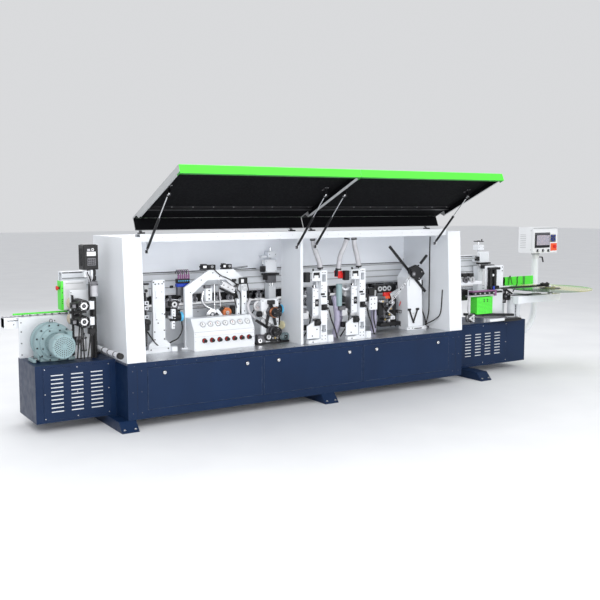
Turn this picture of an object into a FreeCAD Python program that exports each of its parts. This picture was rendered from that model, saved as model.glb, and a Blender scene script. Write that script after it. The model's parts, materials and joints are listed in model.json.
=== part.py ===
import FreeCAD, Part
import math
import os
import re
import Sketcher

# Automatic edge banding machine.
# Frame: +X along the feed line from outfeed to infeed, +Y away from the service side, +Z up.
# The origin is on the floor under the centre of the middle foot, in the plane of the doors.

os.makedirs("parts", exist_ok=True)
doc = FreeCAD.newDocument("EdgeBander")
sheet = doc.addObject("Spreadsheet::Sheet", "Dims")

DIMENSIONS = {
    # main cabinet
    "foot_height": 85, "base_height": 465, "deck_thick": 20, "base_depth": 780,
    "bay_left": 1853, "bay_right": 1554, "left_tower_width": 168, "right_tower_width": 175,
    "base_wall": 4, "divider": 6, "foot_pitch": 2030, "foot_width": 153, "foot_toe": 80,
    "foot_wall": 8,
    # end cabinets
    "left_box_length": 688, "right_box_length": 1258, "box_inset": 283, "box_depth": 516,
    "box_wall": 4, "vent_thick": 3, "vent_bottom": 108, "vent_height": 440, "vent_rim": 40,
    "left_vent_start": 65, "left_vent_length": 570, "left_slot_width": 105,
    "left_slot_pitch": 170, "right_vent_start": 215, "right_vent_length": 740,
    "right_slot_width": 90, "right_slot_pitch": 150, "slot_height": 10, "slot_rise": 34,
    # doors and quarter-turn locks
    "door_bottom": 155, "door_top": 520, "door_gap": 3, "door_thick": 4, "mullion": 16,
    "knuckle_length": 60,
    "lock_z": 465, "lock_inset": 165, "lock_barrel": 9, "lock_head": 15, "lock_proud": 9,
    "lock_cam": 38, "lock_cam_width": 16, "lock_cam_thick": 4, "running_fit": 0.05,
    # towers, beam and covers
    "tower_height": 1050, "tower_lean": 60, "tower_wall": 4, "beam_front": 84,
    "beam_depth": 116, "beam_bottom": 1577, "beam_height": 68, "beam_wall": 4,
    "cover_sheet": 3, "cover_bottom": 1345, "partition_place": 250, "partition_thick": 28,
    "partition_front": 88, "partition_back": 450, "partition_set": 12,
    # hoods and their hinges
    "hinge_rise": 12, "hinge_pin": 5, "hinge_ear": 8, "hinge_ear_radius": 9,
    "hinge_gap": 0.3, "hood_ear_width": 30, "hood_ear_radius": 10, "hood_leg_start": 14,
    "hood_seam": 150, "hood_gap": 4, "hood_reach": 1040, "hood_clearance": 19,
    "hood_lip": 70, "hood_side": 55, "notch_gap": 6, "hood_sheet": 3, "hood_slope": 23.2, "hinge_inset": 49,
    "seam_hinge_left": 145, "seam_hinge_right": 79, "right_hinge_inset": 189,
    # gas struts
    "strut_pivot_y": 100, "strut_drop": 82, "strut_inset": 60, "seam_strut_left": 142,
    "seam_strut_right": 64, "right_strut_inset": 146, "strut_radius": 11, "strut_rod": 5,
    "strut_eye": 13, "strut_eye_width": 14, "strut_neck": 36, "strut_tube": 400,
    "strut_bore_start": 120, "strut_overlap": 45, "strut_mount_along": 659, "strut_mount_depth": 66,
    "bracket_thick": 6, "bracket_width": 36, "bracket_gap": 2,
    # feed line
    "work_height": 930, "track_front": 790, "track_depth": 110, "track_height": 95,
    "track_left": 2820, "track_right": 3000, "apron_thick": 14, "apron_bottom": 300,
    "pad_height": 7, "pad_width": 70, "press_left": 2310, "press_right": 2700,
    "press_bottom": 1040, "press_height": 260, "press_wall": 5, "groove_depth": 10,
    "groove_width": 12, "panel_thick": 18, "roller_radius": 30, "roller_width": 46,
    "roller_pitch": 130, "hanger_width": 24,
    "column_size": 80, "column_y": 690, "left_column_x": -250, "right_column_x": 2610,
    "column_top": 1180, "screw_radius": 10, "lug_bottom": 1230, "lug_height": 50,
    "cap_bottom": 1370, "cap_height": 60, "cap_over": 6,
    # stations on the deck
    "plate_thick": 30, "scraper_x": -1672, "scraper_y": 383, "scraper_width": 211,
    "scraper_height": 655, "scraper_neck": 47, "scraper_foot": 70, "window": 60,
    "corner_x": -1290, "corner_y": 440, "corner_width": 640, "corner_height": 720,
    "corner_top_width": 260, "corner_rib": 80, "corner_top_shift": 250, "corner_shoulder": 566,
    "corner_right_shoulder": 610, "corner_inner_rise": 504, "corner_top_thick": 96,
    "corner_inner_lead": 16, "corner_inner_end": 88,
    "panel_x": -1282, "panel_y": 262, "panel_length": 624, "panel_depth": 170,
    "panel_height": 290, "panel_front_height": 175, "panel_slope_run": 70, "panel_wall": 2,
    "trim_x": -560, "trim_y": 300, "trim_width": 190, "trim_height": 430,
    "trim_motor_radius": 48, "trim_motor_length": 150,
    "saw_frame_y": 88, "saw_frame_width": 72, "saw_frame_depth": 150, "saw_frame_height": 700,
    "left_saw_x": -22, "right_saw_x": 436, "saw_window": 44, "saw_wall": 10,
    "saw_foot_width": 150, "saw_foot_height": 40, "saw_rail": 12, "saw_gap": 1,
    "saw_strut_gap": 14,
    "saw_carriage_width": 74, "saw_carriage_height": 300, "saw_carriage_z": 800,
    "saw_motor_radius": 36, "saw_motor_length": 150, "saw_disc_radius": 65,
    "saw_disc_thick": 4,
    "pillar_x": 1240, "pillar_y": 300, "pillar_width": 199, "pillar_depth": 160,
    "pillar_shoulder": 560, "pillar_height": 675, "pillar_lean": 60,
    "arm_x": 1262, "arm_z": 1170, "arm_length": 700, "arm_back": 420, "arm_width": 26,
    "arm_thick": 14, "arm_pin": 8, "arm_angle": 45, "arm_gap": 1,
    # outfeed end
    "outplate_y": 742, "outplate_thick": 14, "outplate_top": 922,
    "motor_x": -2500, "motor_y": 150, "motor_z": 735, "motor_radius": 92,
    "motor_cowl_radius": 102, "motor_cowl_length": 95, "motor_length": 250,
    "motor_flange_radius": 125, "motor_flange": 24, "gear_width": 330, "gear_depth": 180,
    "gear_height": 330,
    "stand_x": -2330, "stand_y": 505, "stand_width": 190, "stand_height": 590,
    "stand_thick": 18, "buff_x": -2272, "buff_low": 905, "buff_high": 1040,
    "buff_motor_radius": 52, "buff_motor_length": 190, "buff_shaft": 9, "buff_radius": 62,
    "buff_width": 60, "buff_reach": 90,
    "switch_x": -2250, "switch_y": 372, "switch_z": 1340, "switch_width": 130,
    "switch_depth": 120, "switch_height": 210, "switch_post": 44,
    "outbox_x": -2364, "outbox_y": 640, "outbox_z": 980, "outbox_width": 226,
    "outbox_depth": 100, "outbox_height": 250, "outbox_post": 60,
    "bar_x": -2100, "bar_z": 650, "bar_radius": 20, "bar_front": 57, "bar_block": 90,
    # infeed end
    "inplate_x": 2353, "inplate_y": 300, "inplate_width": 277, "inplate_thick": 20,
    "inplate_top": 1213, "side_panel_x": 2930, "side_panel_y": 600, "side_panel_length": 520,
    "side_panel_thick": 12, "side_panel_z": 935, "side_panel_height": 105,
    "side_panel_foot": 40, "guard_x": 2110, "guard_y": 180, "guard_width": 240,
    "guard_height": 190, "guard_depth": 100, "guard_z": 690, "guard_wall": 3,
    "tray_x": 3200, "tray_y": 110, "tray_z": 930, "tray_radius": 470, "tray_thick": 5,
    "tray_hub": 60, "tray_hub_height": 40, "tray_pin": 12, "beam_start": 2640,
    "beam_end": 3330, "arm_beam_width": 80, "arm_beam_height": 80, "arm_beam_z": 790,
    "post_x": 2890, "post_y": 330, "post_size": 60, "bellows_radius": 45,
    "pole_x": 3530, "pole_y": 650, "pole_radius": 40, "pole_top": 1320, "pole_bend": 300,
    "pole_foot": 330, "pole_spigot": 34, "pole_spigot_height": 16,
    "hmi_left": 3305, "hmi_front": 480, "hmi_width": 418, "hmi_depth": 240,
    "hmi_height": 310, "estop_radius": 20, "estop_stem": 9, "estop_proud": 26,
    "estop_travel": 8, "estop_inset": 60, "estop_rise": 75, "estop_bore_depth": 30,
    # dust hoses and cables
    "hose_radius": 26, "hose_shift": 12, "left_hose_back": 95, "middle_hose_back": 150,
    "right_hose_back": 70, "spout_x": 250, "spout_y": 192, "spout_top": 1250,
    "spout_radius": 32, "spout_length": 60, "cable_radius": 6, "wall_cable_y": 330,
    "wall_cable_drop": 20, "wall_cable_run": 90, "wall_cable_set": 40, "box_cable_run": 36,
}

DERIVED = {
    "base_top": "foot_height + base_height",
    "deck_top": "base_top + deck_thick",
    "base_left": "-(bay_left + left_tower_width)",
    "base_right": "bay_right + right_tower_width",
    "base_length": "base_right - base_left",
    "bay_length": "bay_left + bay_right",
    "door_pitch": "bay_length / 3",
    "left_end": "base_left - left_box_length",
    "tower_top": "deck_top + tower_height",
    "beam_back": "beam_front + beam_depth",
    "beam_top": "beam_bottom + beam_height",
    "hinge_z": "beam_top + hinge_rise",
    "hood_depth": "beam_depth + hood_clearance",
    "notch_low": "notch_gap + beam_depth",
    "notch_high": "hood_depth - hood_side",
    "notch_radius": "hypot(beam_depth; beam_height + hinge_rise) + notch_gap",
    "notch_near": "sqrt(notch_radius ^ 2 - (notch_low) ^ 2)",
    "notch_far": "sqrt(notch_radius ^ 2 - (notch_high) ^ 2)",
    "strut_z": "beam_bottom - strut_drop",
    "mount_run": "-strut_mount_along * cos(hood_slope) + strut_mount_depth * sin(hood_slope)",
    "mount_rise": "strut_mount_along * sin(hood_slope) + strut_mount_depth * cos(hood_slope)",
    "strut_run": "strut_pivot_y - beam_back - mount_run",
    "strut_rise": "hinge_z + mount_rise - strut_z",
    "strut_length": "hypot(strut_run; strut_rise)",
    "strut_angle": "atan2(strut_run; strut_rise)",
    "carriage_front": "strut_pivot_y + bracket_width / 2 + saw_strut_gap",
    "press_top": "press_bottom + press_height",
    "roller_z": "work_height + panel_thick + roller_radius",
    "track_bottom": "work_height - pad_height - track_height",
    "gear_front": "motor_y + motor_length + motor_flange",
    "saw_top": "deck_top + saw_frame_height",
    "hose_y": "beam_front + beam_depth / 2",
    "box_cable_x": "switch_x + switch_width / 2",
    "box_cable_y": "switch_y + switch_depth / 2 - cable_radius",
}

# Each cord has its two ends, then its bends as shares of the way between them in X, Y and Z.
CORDS = {
    "left_dust_hose": (
        ("left_saw_x + saw_frame_width / 2 - left_hose_back", "hose_y", "beam_bottom"),
        ("left_saw_x + saw_frame_width / 2", "hose_y + hose_shift", "saw_top"),
        [(0.07, 0.33, 0.23), (0.53, 0.83, 0.52), (0.92, 1, 0.79)]),
    "middle_dust_hose": (
        ("right_saw_x + saw_frame_width / 2 - middle_hose_back", "hose_y", "beam_bottom"),
        ("spout_x", "spout_y", "spout_top"),
        [(0.25, 0.12, 0.21), (0.86, 0.44, 0.49), (1, 0.8, 0.76)]),
    "right_dust_hose": (
        ("right_saw_x + saw_frame_width / 2 - right_hose_back", "hose_y", "beam_bottom"),
        ("right_saw_x + saw_frame_width / 2", "hose_y + hose_shift", "saw_top"),
        [(0.11, 0.33, 0.23), (0.57, 0.83, 0.52), (0.91, 1, 0.79)]),
    "wall_cable": (
        ("bay_right - cable_radius", "wall_cable_y", "beam_bottom - wall_cable_drop"),
        ("bay_right - cable_radius - wall_cable_run", "wall_cable_y - wall_cable_set",
         "deck_top"),
        [(0, -0.1, 0.2), (0, 0.05, 0.42), (0, -0.05, 0.65), (0.07, 0.2, 0.81),
         (0.56, 0.75, 0.91)]),
    "box_cable": (
        ("box_cable_x", "box_cable_y", "switch_z"),
        ("box_cable_x + box_cable_run", "box_cable_y", "deck_top"),
        [(-0.17, -2, 0.13), (0.17, -3, 0.29), (0.61, -1, 0.45), (0.83, 0, 0.64),
         (1.11, 3, 0.83)]),
}

HOOD_STRUTS = {
    "left": ("-bay_left + strut_inset", "-hood_seam - seam_strut_left"),
    "right": ("-hood_seam + seam_strut_right", "bay_right - right_strut_inset"),
}
HOOD_HINGES = {
    "left": ("-bay_left + hinge_inset", "-hood_seam - seam_hinge_left"),
    "right": ("-hood_seam + seam_hinge_right", "bay_right - right_hinge_inset"),
}

TURN = {
    "x": FreeCAD.Rotation(FreeCAD.Vector(0, 1, 0), 90),
    "y": FreeCAD.Rotation(FreeCAD.Vector(1, 0, 0), -90),
    "z": FreeCAD.Rotation(),
}
FIRST_SKETCH_SIZE = 100
sub_parts = []


# ---------------------------------------------------------------- modelling helpers

def fill_sheet():
    """Write each driving dimension into its own cell, with its name as the alias."""
    for row, (name, size) in enumerate(DIMENSIONS.items(), start=1):
        sheet.set(f"A{row}", name)
        sheet.set(f"B{row}", str(size))
        sheet.setAlias(f"B{row}", name)
    doc.recompute()


def size(name):
    """The present value of one driving dimension."""
    return float(sheet.get(name))


def value(text):
    """The present value of an expression in the dimensions."""
    return float(sheet.evalExpression(formula(text)))


def formula(text):
    """The text with every dimension's name turned into a reference to the sheet."""
    def reference(match):
        word = match.group(0)
        if word in DERIVED:
            return "(" + formula(DERIVED[word]) + ")"
        if word in DIMENSIONS:
            return "Dims." + word
        return word
    return re.sub(r"[a-z][a-z0-9_]*", reference, str(text))


def bind(thing, name, text):
    """Tie one property of an object to the dimensions."""
    thing.setExpression(name, formula(text))


def place(thing, x, y, z):
    """Tie an object's position to the dimensions."""
    for axis, text in zip("xyz", (x, y, z)):
        bind(thing, "Placement.Base." + axis, text)
    return thing


def box(x, y, z, length, width, height):
    """A block from its low corner and its three sizes."""
    block = doc.addObject("Part::Box", "Block")
    bind(block, "Length", length)
    bind(block, "Width", width)
    bind(block, "Height", height)
    return place(block, x, y, z)


def rod(axis, x, y, z, radius, length):
    """A cylinder that starts at a point and runs along an axis."""
    bar = doc.addObject("Part::Cylinder", "Bar")
    bar.Placement = FreeCAD.Placement(FreeCAD.Vector(), TURN[axis])
    bind(bar, "Radius", radius)
    bind(bar, "Height", length)
    return place(bar, x, y, z)


def fuse(*shapes):
    """One welded solid."""
    weld = doc.addObject("Part::MultiFuse", "Weld")
    weld.Shapes = list(shapes)
    return weld


def cut(base, *tools):
    """A solid with others taken out of it."""
    result = doc.addObject("Part::Cut", "Cut")
    result.Base = base
    result.Tool = tools[0] if len(tools) == 1 else fuse(*tools)
    return result


def group(*shapes):
    """Separate solids that share one node."""
    together = doc.addObject("Part::Compound", "Group")
    together.Links = list(shapes)
    return together


def keep(label, thing):
    """Name a finished sub-part."""
    thing.Label = label
    sub_parts.append(thing)
    return thing


def trace(sketch, outline):
    """Draw a closed outline and hold each corner from the sketch's origin."""
    first = sketch.GeometryCount
    count = len(outline)
    turn = 2 * math.pi / count
    corners = [FreeCAD.Vector(math.cos(k * turn), math.sin(k * turn), 0) * FIRST_SKETCH_SIZE
               for k in range(count)]
    for k in range(count):
        sketch.addGeometry(Part.LineSegment(corners[k], corners[(k + 1) % count]), False)
    for k in range(count):
        after = first + (k + 1) % count
        sketch.addConstraint(Sketcher.Constraint("Coincident", first + k, 2, after, 1))
    for k, corner in enumerate(outline):
        hold(sketch, first + k, 1, corner, corners[k])


def trace_circle(sketch, across, up, radius):
    """Draw a circle held by its centre and its radius."""
    item = sketch.GeometryCount
    centre = FreeCAD.Vector()
    circle = Part.Circle(centre, FreeCAD.Vector(0, 0, 1), FIRST_SKETCH_SIZE)
    sketch.addGeometry(circle, False)
    hold(sketch, item, 3, (across, up), centre)
    held = sketch.addConstraint(Sketcher.Constraint("Radius", item, FIRST_SKETCH_SIZE))
    bind(sketch, f"Constraints[{held}]", radius)


def hold(sketch, item, point, corner, start):
    """Tie a point of a sketch to two distances from the origin."""
    for kind, text, first in (("DistanceX", corner[0], start.x), ("DistanceY", corner[1], start.y)):
        held = sketch.addConstraint(Sketcher.Constraint(kind, -1, 1, item, point, first))
        bind(sketch, f"Constraints[{held}]", text)


def new_sketch(body, role):
    """An empty sketch on one of a body's own origin planes."""
    sketch = body.newObject("Sketcher::SketchObject", "Profile")
    plane = [item for item in body.Origin.OriginFeatures if item.Role == role][0]
    sketch.AttachmentSupport = [(plane, "")]
    sketch.MapMode = "FlatFace"
    return sketch


def prism(plane, outline, start, depth, holes=()):
    """A padded outline. Holes are outlines, or circles as (across, up, radius)."""
    body = doc.addObject("PartDesign::Body", "Body")
    sketch = new_sketch(body, plane + "_Plane")
    trace(sketch, outline)
    for hole in holes:
        if isinstance(hole, tuple):
            trace_circle(sketch, *hole)
        else:
            trace(sketch, hole)
    pad = body.newObject("PartDesign::Pad", "Pad")
    pad.Profile = sketch
    pad.Reversed = plane == "XZ"
    bind(pad, "Length", depth)
    body.Tip = pad
    normal = {"XY": "z", "XZ": "y", "YZ": "x"}[plane]
    bind(body, "Placement.Base." + normal, start)
    return body


def turned(axis, x, y, z, outline):
    """A revolved outline of (radius, distance along the axis) corners."""
    body = doc.addObject("PartDesign::Body", "Turned")
    sketch = new_sketch(body, "XZ_Plane")
    trace(sketch, outline)
    spin = body.newObject("PartDesign::Revolution", "Spin")
    spin.Profile = sketch
    spin.ReferenceAxis = (sketch, ["V_Axis"])
    spin.Angle = 360
    body.Tip = spin
    body.Placement = FreeCAD.Placement(FreeCAD.Vector(), TURN[axis])
    return place(body, x, y, z)


def rectangle(x, z, width, height):
    """The four corners of an upright rectangle."""
    return [(x, z), (f"{x} + {width}", z), (f"{x} + {width}", f"{z} + {height}"),
            (x, f"{z} + {height}")]


# ---------------------------------------------------------------- cabinet

def main_base():
    """The welded cabinet under the deck: three door bays and a closed pocket at each end."""
    shell = box("base_left", 0, "foot_height", "base_length", "base_depth", "base_height")
    walls = [f"-bay_left + {k} * door_pitch" for k in range(4)]
    starts = ["base_left + base_wall"] + [f"{wall} + divider / 2" for wall in walls]
    ends = [f"{wall} - divider / 2" for wall in walls] + ["base_right - base_wall"]
    hollows = [box(start, "base_wall", "foot_height + base_wall", f"{end} - ({start})",
                   "base_depth - 2 * base_wall", "base_height")
               for start, end in zip(starts, ends)]
    doorways = [box(f"{wall} + mullion / 2", "-base_wall", "door_bottom",
                    "door_pitch - mullion", "3 * base_wall", "door_top - door_bottom")
                for wall in walls[:3]]
    keep("main_base", cut(shell, *hollows, *doorways))


def deck_plate():
    """The thick plate that carries the stations."""
    keep("deck_plate", box("base_left", 0, "base_top", "base_length", "base_depth",
                           "deck_thick"))


def feet():
    """Three hollow cross feet with sloping toes."""
    outline = [("-foot_toe", 0), ("base_depth + foot_toe", 0), ("base_depth", "foot_height"),
               (0, "foot_height")]
    blocks = []
    for side in (-1, 0, 1):
        start = f"{side} * foot_pitch - foot_width / 2"
        hollow = box(f"{start} + foot_wall", "foot_wall", "foot_wall",
                     "foot_width - 2 * foot_wall", "base_depth - 2 * foot_wall",
                     "foot_height - 2 * foot_wall")
        blocks.append(cut(prism("YZ", outline, start, "foot_width"), hollow))
    keep("feet", group(*blocks))


def end_box(label, start, length, vent_start, vent_length):
    """A closed end cabinet with a window behind its louvre panel."""
    height = "deck_top - foot_height"
    shell = box(start, "box_inset", "foot_height", length, "box_depth", height)
    hollow = box(f"{start} + box_wall", "box_inset + box_wall", "foot_height + box_wall",
                 f"{length} - 2 * box_wall", "box_depth - 2 * box_wall",
                 f"{height} - 2 * box_wall")
    window = box(f"{start} + {vent_start} + vent_rim", "box_inset - box_wall",
                 "vent_bottom + vent_rim", f"{vent_length} - 2 * vent_rim", "3 * box_wall",
                 "vent_height - 2 * vent_rim")
    keep(label, cut(shell, hollow, window))


def vent_panel(start, length, columns, rows, width, pitch):
    """A louvre panel with its grid of slots."""
    first = f"{start} + ({length} - {columns - 1} * {pitch} - {width}) / 2"
    low = f"vent_bottom + (vent_height - {rows - 1} * slot_rise - slot_height) / 2"
    slots = [rectangle(f"{first} + {column} * {pitch}", f"{low} + {row} * slot_rise",
                       width, "slot_height")
             for column in range(columns) for row in range(rows)]
    outline = rectangle(start, "vent_bottom", length, "vent_height")
    return prism("XZ", outline, "box_inset - vent_thick", "vent_thick", slots)


def vent_panels():
    """The louvre panels of both end cabinets."""
    left = vent_panel("left_end + left_vent_start", "left_vent_length", 3, 10,
                      "left_slot_width", "left_slot_pitch")
    right = vent_panel("base_right + right_vent_start", "right_vent_length", 4, 8,
                       "right_slot_width", "right_slot_pitch")
    keep("vent_panels", group(left, right))


def doors_and_locks():
    """Three drop-down doors, each with two quarter-turn locks in running bores."""
    for number, name in enumerate(("left", "middle", "right")):
        start = f"-bay_left + {number} * door_pitch + mullion / 2 + door_gap"
        length = "door_pitch - mullion - 2 * door_gap"
        edge = f"-bay_left + {number} * door_pitch"
        places = (f"{edge} + lock_inset", f"{edge} + door_pitch - lock_inset")
        bores = [(place_x, "lock_z", "lock_barrel + running_fit") for place_x in places]
        outline = rectangle(start, "door_bottom + door_gap", length,
                            "door_top - door_bottom - 2 * door_gap")
        knuckles = [rod("x", f"{start} + {share} * ({length}) - knuckle_length / 2",
                        "door_thick / 2", "door_bottom + door_gap", "door_gap - hinge_gap",
                        "knuckle_length") for share in (0.1, 0.5, 0.9)]
        keep(f"{name}_door", fuse(prism("XZ", outline, 0, "door_thick", bores), *knuckles))
        for side, place_x in zip(("left", "right"), places):
            head = rod("y", place_x, "-lock_proud", "lock_z", "lock_head",
                       "lock_proud - hinge_gap")
            barrel = rod("y", place_x, "-lock_proud", "lock_z", "lock_barrel",
                         "lock_proud + door_thick + hinge_gap + lock_cam_thick")
            cam = box(f"{place_x} - lock_cam_width / 2", "door_thick + hinge_gap",
                      "lock_z - lock_cam_width / 2", "lock_cam_width", "lock_cam_thick",
                      "lock_cam")
            keep(f"{name}_door_{side}_lock", fuse(head, barrel, cam))


# ---------------------------------------------------------------- towers, beam and covers

def tower(label, start, width):
    """A hollow tower whose front leans back."""
    outer = [(0, "deck_top"), ("base_depth", "deck_top"), ("base_depth", "tower_top"),
             ("tower_lean", "tower_top")]
    inner = [("tower_wall", "deck_top + tower_wall"),
             ("base_depth - tower_wall", "deck_top + tower_wall"),
             ("base_depth - tower_wall", "tower_top - tower_wall"),
             ("tower_lean + tower_wall", "tower_top - tower_wall")]
    shell = prism("YZ", outer, start, width)
    hollow = prism("YZ", inner, f"{start} + tower_wall", f"{width} - 2 * tower_wall")
    keep(label, cut(shell, hollow))


def strut_bracket(place_x):
    """A plate that hangs from the beam, with the pin of a gas strut."""
    side = "strut_eye_width / 2 + bracket_gap"
    plate = box(f"{place_x} + {side}", "strut_pivot_y - bracket_width / 2",
                "strut_z - bracket_width / 2", "bracket_thick", "bracket_width",
                "strut_drop + bracket_width / 2")
    pin = rod("x", f"{place_x} - {side}", "strut_pivot_y", "strut_z", "strut_rod",
              "2 * (strut_eye_width / 2 + bracket_gap)")
    return [plate, pin]


def hood_hinge(place_x):
    """Two ears and a pin on top of the beam."""
    half = "hood_ear_width / 2 + hinge_gap"
    ears = []
    for start in (f"{place_x} - ({half}) - hinge_ear", f"{place_x} + {half}"):
        ears.append(box(start, "beam_back - hinge_ear_radius", "beam_top", "hinge_ear",
                        "2 * hinge_ear_radius", "hinge_rise"))
        ears.append(rod("x", start, "beam_back", "hinge_z", "hinge_ear_radius", "hinge_ear"))
    pin = rod("x", f"{place_x} - ({half})", "beam_back", "hinge_z", "hinge_pin",
              f"2 * ({half})")
    return ears + [pin]


def top_beam():
    """The box beam between the towers, with hinge ears above and strut plates below."""
    shell = box("-bay_left", "beam_front", "beam_bottom", "bay_length", "beam_depth",
                "beam_height")
    hollow = box("-bay_left", "beam_front + beam_wall", "beam_bottom + beam_wall",
                 "bay_length", "beam_depth - 2 * beam_wall", "beam_height - 2 * beam_wall")
    fittings = []
    for name in ("left", "right"):
        for place_x in HOOD_HINGES[name]:
            fittings += hood_hinge(place_x)
        for place_x in HOOD_STRUTS[name]:
            fittings += strut_bracket(place_x)
    keep("top_beam", fuse(cut(shell, hollow), *fittings))


def rear_cover():
    """The roof behind the beam and the upper back wall, bent from one sheet."""
    outline = [("beam_back", "tower_top - cover_sheet"), ("beam_back", "tower_top"),
               ("base_depth", "tower_top"), ("base_depth", "cover_bottom"),
               ("base_depth - cover_sheet", "cover_bottom"),
               ("base_depth - cover_sheet", "tower_top - cover_sheet")]
    keep("rear_cover", prism("YZ", outline, "-bay_left", "bay_length"))


def partition():
    """The upright plate between the two hood bays."""
    outline = [("partition_front", "deck_top"), ("partition_back", "deck_top"),
               ("partition_back", "beam_bottom"),
               ("partition_front + partition_set", "beam_bottom")]
    keep("partition", prism("YZ", outline, "-partition_place", "partition_thick"))


# ---------------------------------------------------------------- hoods and gas struts

def hood(name, start, end):
    """A bent hood with a lip, two side flanges, hinge rings and strut plates.

    It is drawn with +Y along the hood from the hinge and -Z towards its outer skin,
    then turned about the hinge line into its open position. Near the hinge the flanges
    are notched, so that they pass round the beam as the hood closes.
    """
    length = f"({end}) - ({start})"
    skin = prism("YZ", [(0, "-hood_leg_start"), (0, "-hood_depth"),
                        ("hood_reach", "-hood_depth"), ("hood_reach", "hood_lip - hood_depth"),
                        ("hood_reach - hood_sheet", "hood_lip - hood_depth"),
                        ("hood_reach - hood_sheet", "hood_sheet - hood_depth"),
                        ("hood_sheet", "hood_sheet - hood_depth"),
                        ("hood_sheet", "-hood_leg_start")], start, length)
    flange = [(0, "-hood_depth"), ("hood_reach", "-hood_depth"),
              ("hood_reach", "-notch_high"), ("notch_far", "-notch_high"),
              ("notch_near", "-notch_low"), (0, "-notch_low")]
    pieces = [skin]
    for edge in (start, f"{end} - hood_sheet"):
        pieces.append(prism("YZ", flange, edge, "hood_sheet"))
    for place_x in HOOD_HINGES[name]:
        low = f"{place_x} - hood_ear_width / 2"
        pieces.append(rod("x", low, 0, 0, "hood_ear_radius", "hood_ear_width"))
        pieces.append(box(low, 0, "-hood_leg_start - hood_ear_radius", "hood_ear_width",
                          "hood_sheet", "hood_leg_start + hood_ear_radius"))
    for place_x in HOOD_STRUTS[name]:
        pieces.append(box(f"{place_x} + strut_eye_width / 2 + bracket_gap",
                          "strut_mount_along - bracket_width / 2", "-hood_depth",
                          "bracket_thick", "bracket_width",
                          "hood_depth - strut_mount_depth + bracket_width / 2"))
    bores = [rod("x", f"{place_x} - hood_ear_width", 0, 0, "hinge_pin + running_fit",
                 "2 * hood_ear_width") for place_x in HOOD_HINGES[name]]
    shell = keep(f"{name}_hood", cut(fuse(*pieces), *bores))
    turn_about_x(shell, "180 - hood_slope")
    place(shell, 0, "beam_back", "hinge_z")


def turn_about_x(thing, angle):
    """Tilt an object about the X direction by an angle tied to the dimensions."""
    thing.Placement = FreeCAD.Placement(
        FreeCAD.Vector(), FreeCAD.Rotation(FreeCAD.Vector(1, 0, 0), 1))
    bind(thing, "Placement.Rotation.Angle", angle)


def strut_pair(name):
    """The two gas struts of a hood: the cylinders in one node, their rods in another."""
    tubes = []
    rods = []
    for place_x in HOOD_STRUTS[name]:
        eye_start = f"{place_x} - strut_eye_width / 2"
        eye = rod("x", eye_start, 0, 0, "strut_eye", "strut_eye_width")
        neck = rod("z", place_x, 0, 0, "strut_eye_width / 2 - bracket_gap", "strut_neck")
        barrel = rod("z", place_x, 0, "strut_neck", "strut_radius", "strut_tube - strut_neck")
        pivot = rod("x", eye_start, 0, 0, "strut_rod + running_fit", "strut_eye_width")
        bore = rod("z", place_x, 0, "strut_bore_start", "strut_rod + running_fit", "strut_tube")
        tubes.append(cut(fuse(eye, neck, barrel), pivot, bore))
        shaft = rod("z", place_x, 0, "strut_tube - strut_overlap", "strut_rod",
                    "strut_length - strut_tube + strut_overlap")
        joint = rod("x", eye_start, 0, "strut_length", "strut_eye - bracket_gap",
                    "strut_eye_width")
        rods.append(fuse(shaft, joint))
    for label, shapes in ((f"{name}_strut_tubes", tubes), (f"{name}_strut_rods", rods)):
        pair = keep(label, group(*shapes))
        turn_about_x(pair, "strut_angle")
        place(pair, 0, "strut_pivot_y", "strut_z")


# ---------------------------------------------------------------- feed line

def conveyor():
    """The track beam with its apron, and the chain of rubber-topped pads on it."""
    track = box("-track_left", "track_front", "track_bottom", "track_left + track_right",
                "track_depth", "track_height")
    apron = box("base_left", "base_depth", "apron_bottom", "base_length", "apron_thick",
                "track_bottom - apron_bottom")
    keep("conveyor_beam", fuse(track, apron))
    keep("conveyor_chain", box("-track_left", "track_front + (track_depth - pad_width) / 2",
                               "work_height - pad_height", "track_left + track_right",
                               "pad_width", "pad_height"))


def pressure_beam():
    """The folded top beam with grooves in its face and a lug round each lifting screw."""
    front = "track_front"
    back = "track_front + track_depth"
    steps = ["0.25 * press_height", "0.5 * press_height", "0.75 * press_height"]
    outline = [(front, "press_bottom")]
    for step in steps:
        low = f"press_bottom + {step}"
        high = f"press_bottom + {step} + groove_width"
        outline += [(front, low), (f"{front} + groove_depth", low),
                    (f"{front} + groove_depth", high), (front, high)]
    inner = f"{front} + groove_depth + press_wall"
    outline += [(front, "press_top"), (back, "press_top"), (back, "press_bottom"),
                (f"{back} - press_wall", "press_bottom"),
                (f"{back} - press_wall", "press_top - press_wall"),
                (inner, "press_top - press_wall"), (inner, "press_bottom")]
    channel = prism("YZ", outline, "-press_left", "press_left + press_right")
    lugs = []
    bores = []
    for column in ("left_column_x", "right_column_x"):
        lugs.append(box(column, "column_y", "lug_bottom", "column_size",
                        "track_front - column_y + groove_depth / 2", "lug_height"))
        bores.append(rod("z", f"{column} + column_size / 2", "column_y + column_size / 2",
                         "lug_bottom - lug_height", "screw_radius + running_fit",
                         "3 * lug_height"))
    keep("pressure_beam", cut(fuse(channel, *lugs), *bores))


def pressure_rollers():
    """The row of sprung rollers under the pressure beam, each on its own hanger."""
    run = size("press_left") + size("press_right") - size("roller_pitch")
    count = int(run / size("roller_pitch"))
    middle = "track_front + groove_depth + press_wall"
    rollers = []
    for number in range(count):
        centre = f"-press_left + ({number} + 1) * roller_pitch"
        wheel = rod("y", centre, f"{middle} + press_wall", "roller_z", "roller_radius",
                    "roller_width")
        hanger = box(f"{centre} - hanger_width / 2", middle, "roller_z", "hanger_width",
                     "press_wall", "press_bottom - roller_z + hanger_width")
        rollers.append(fuse(wheel, hanger))
    keep("pressure_rollers", group(*rollers))


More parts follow.
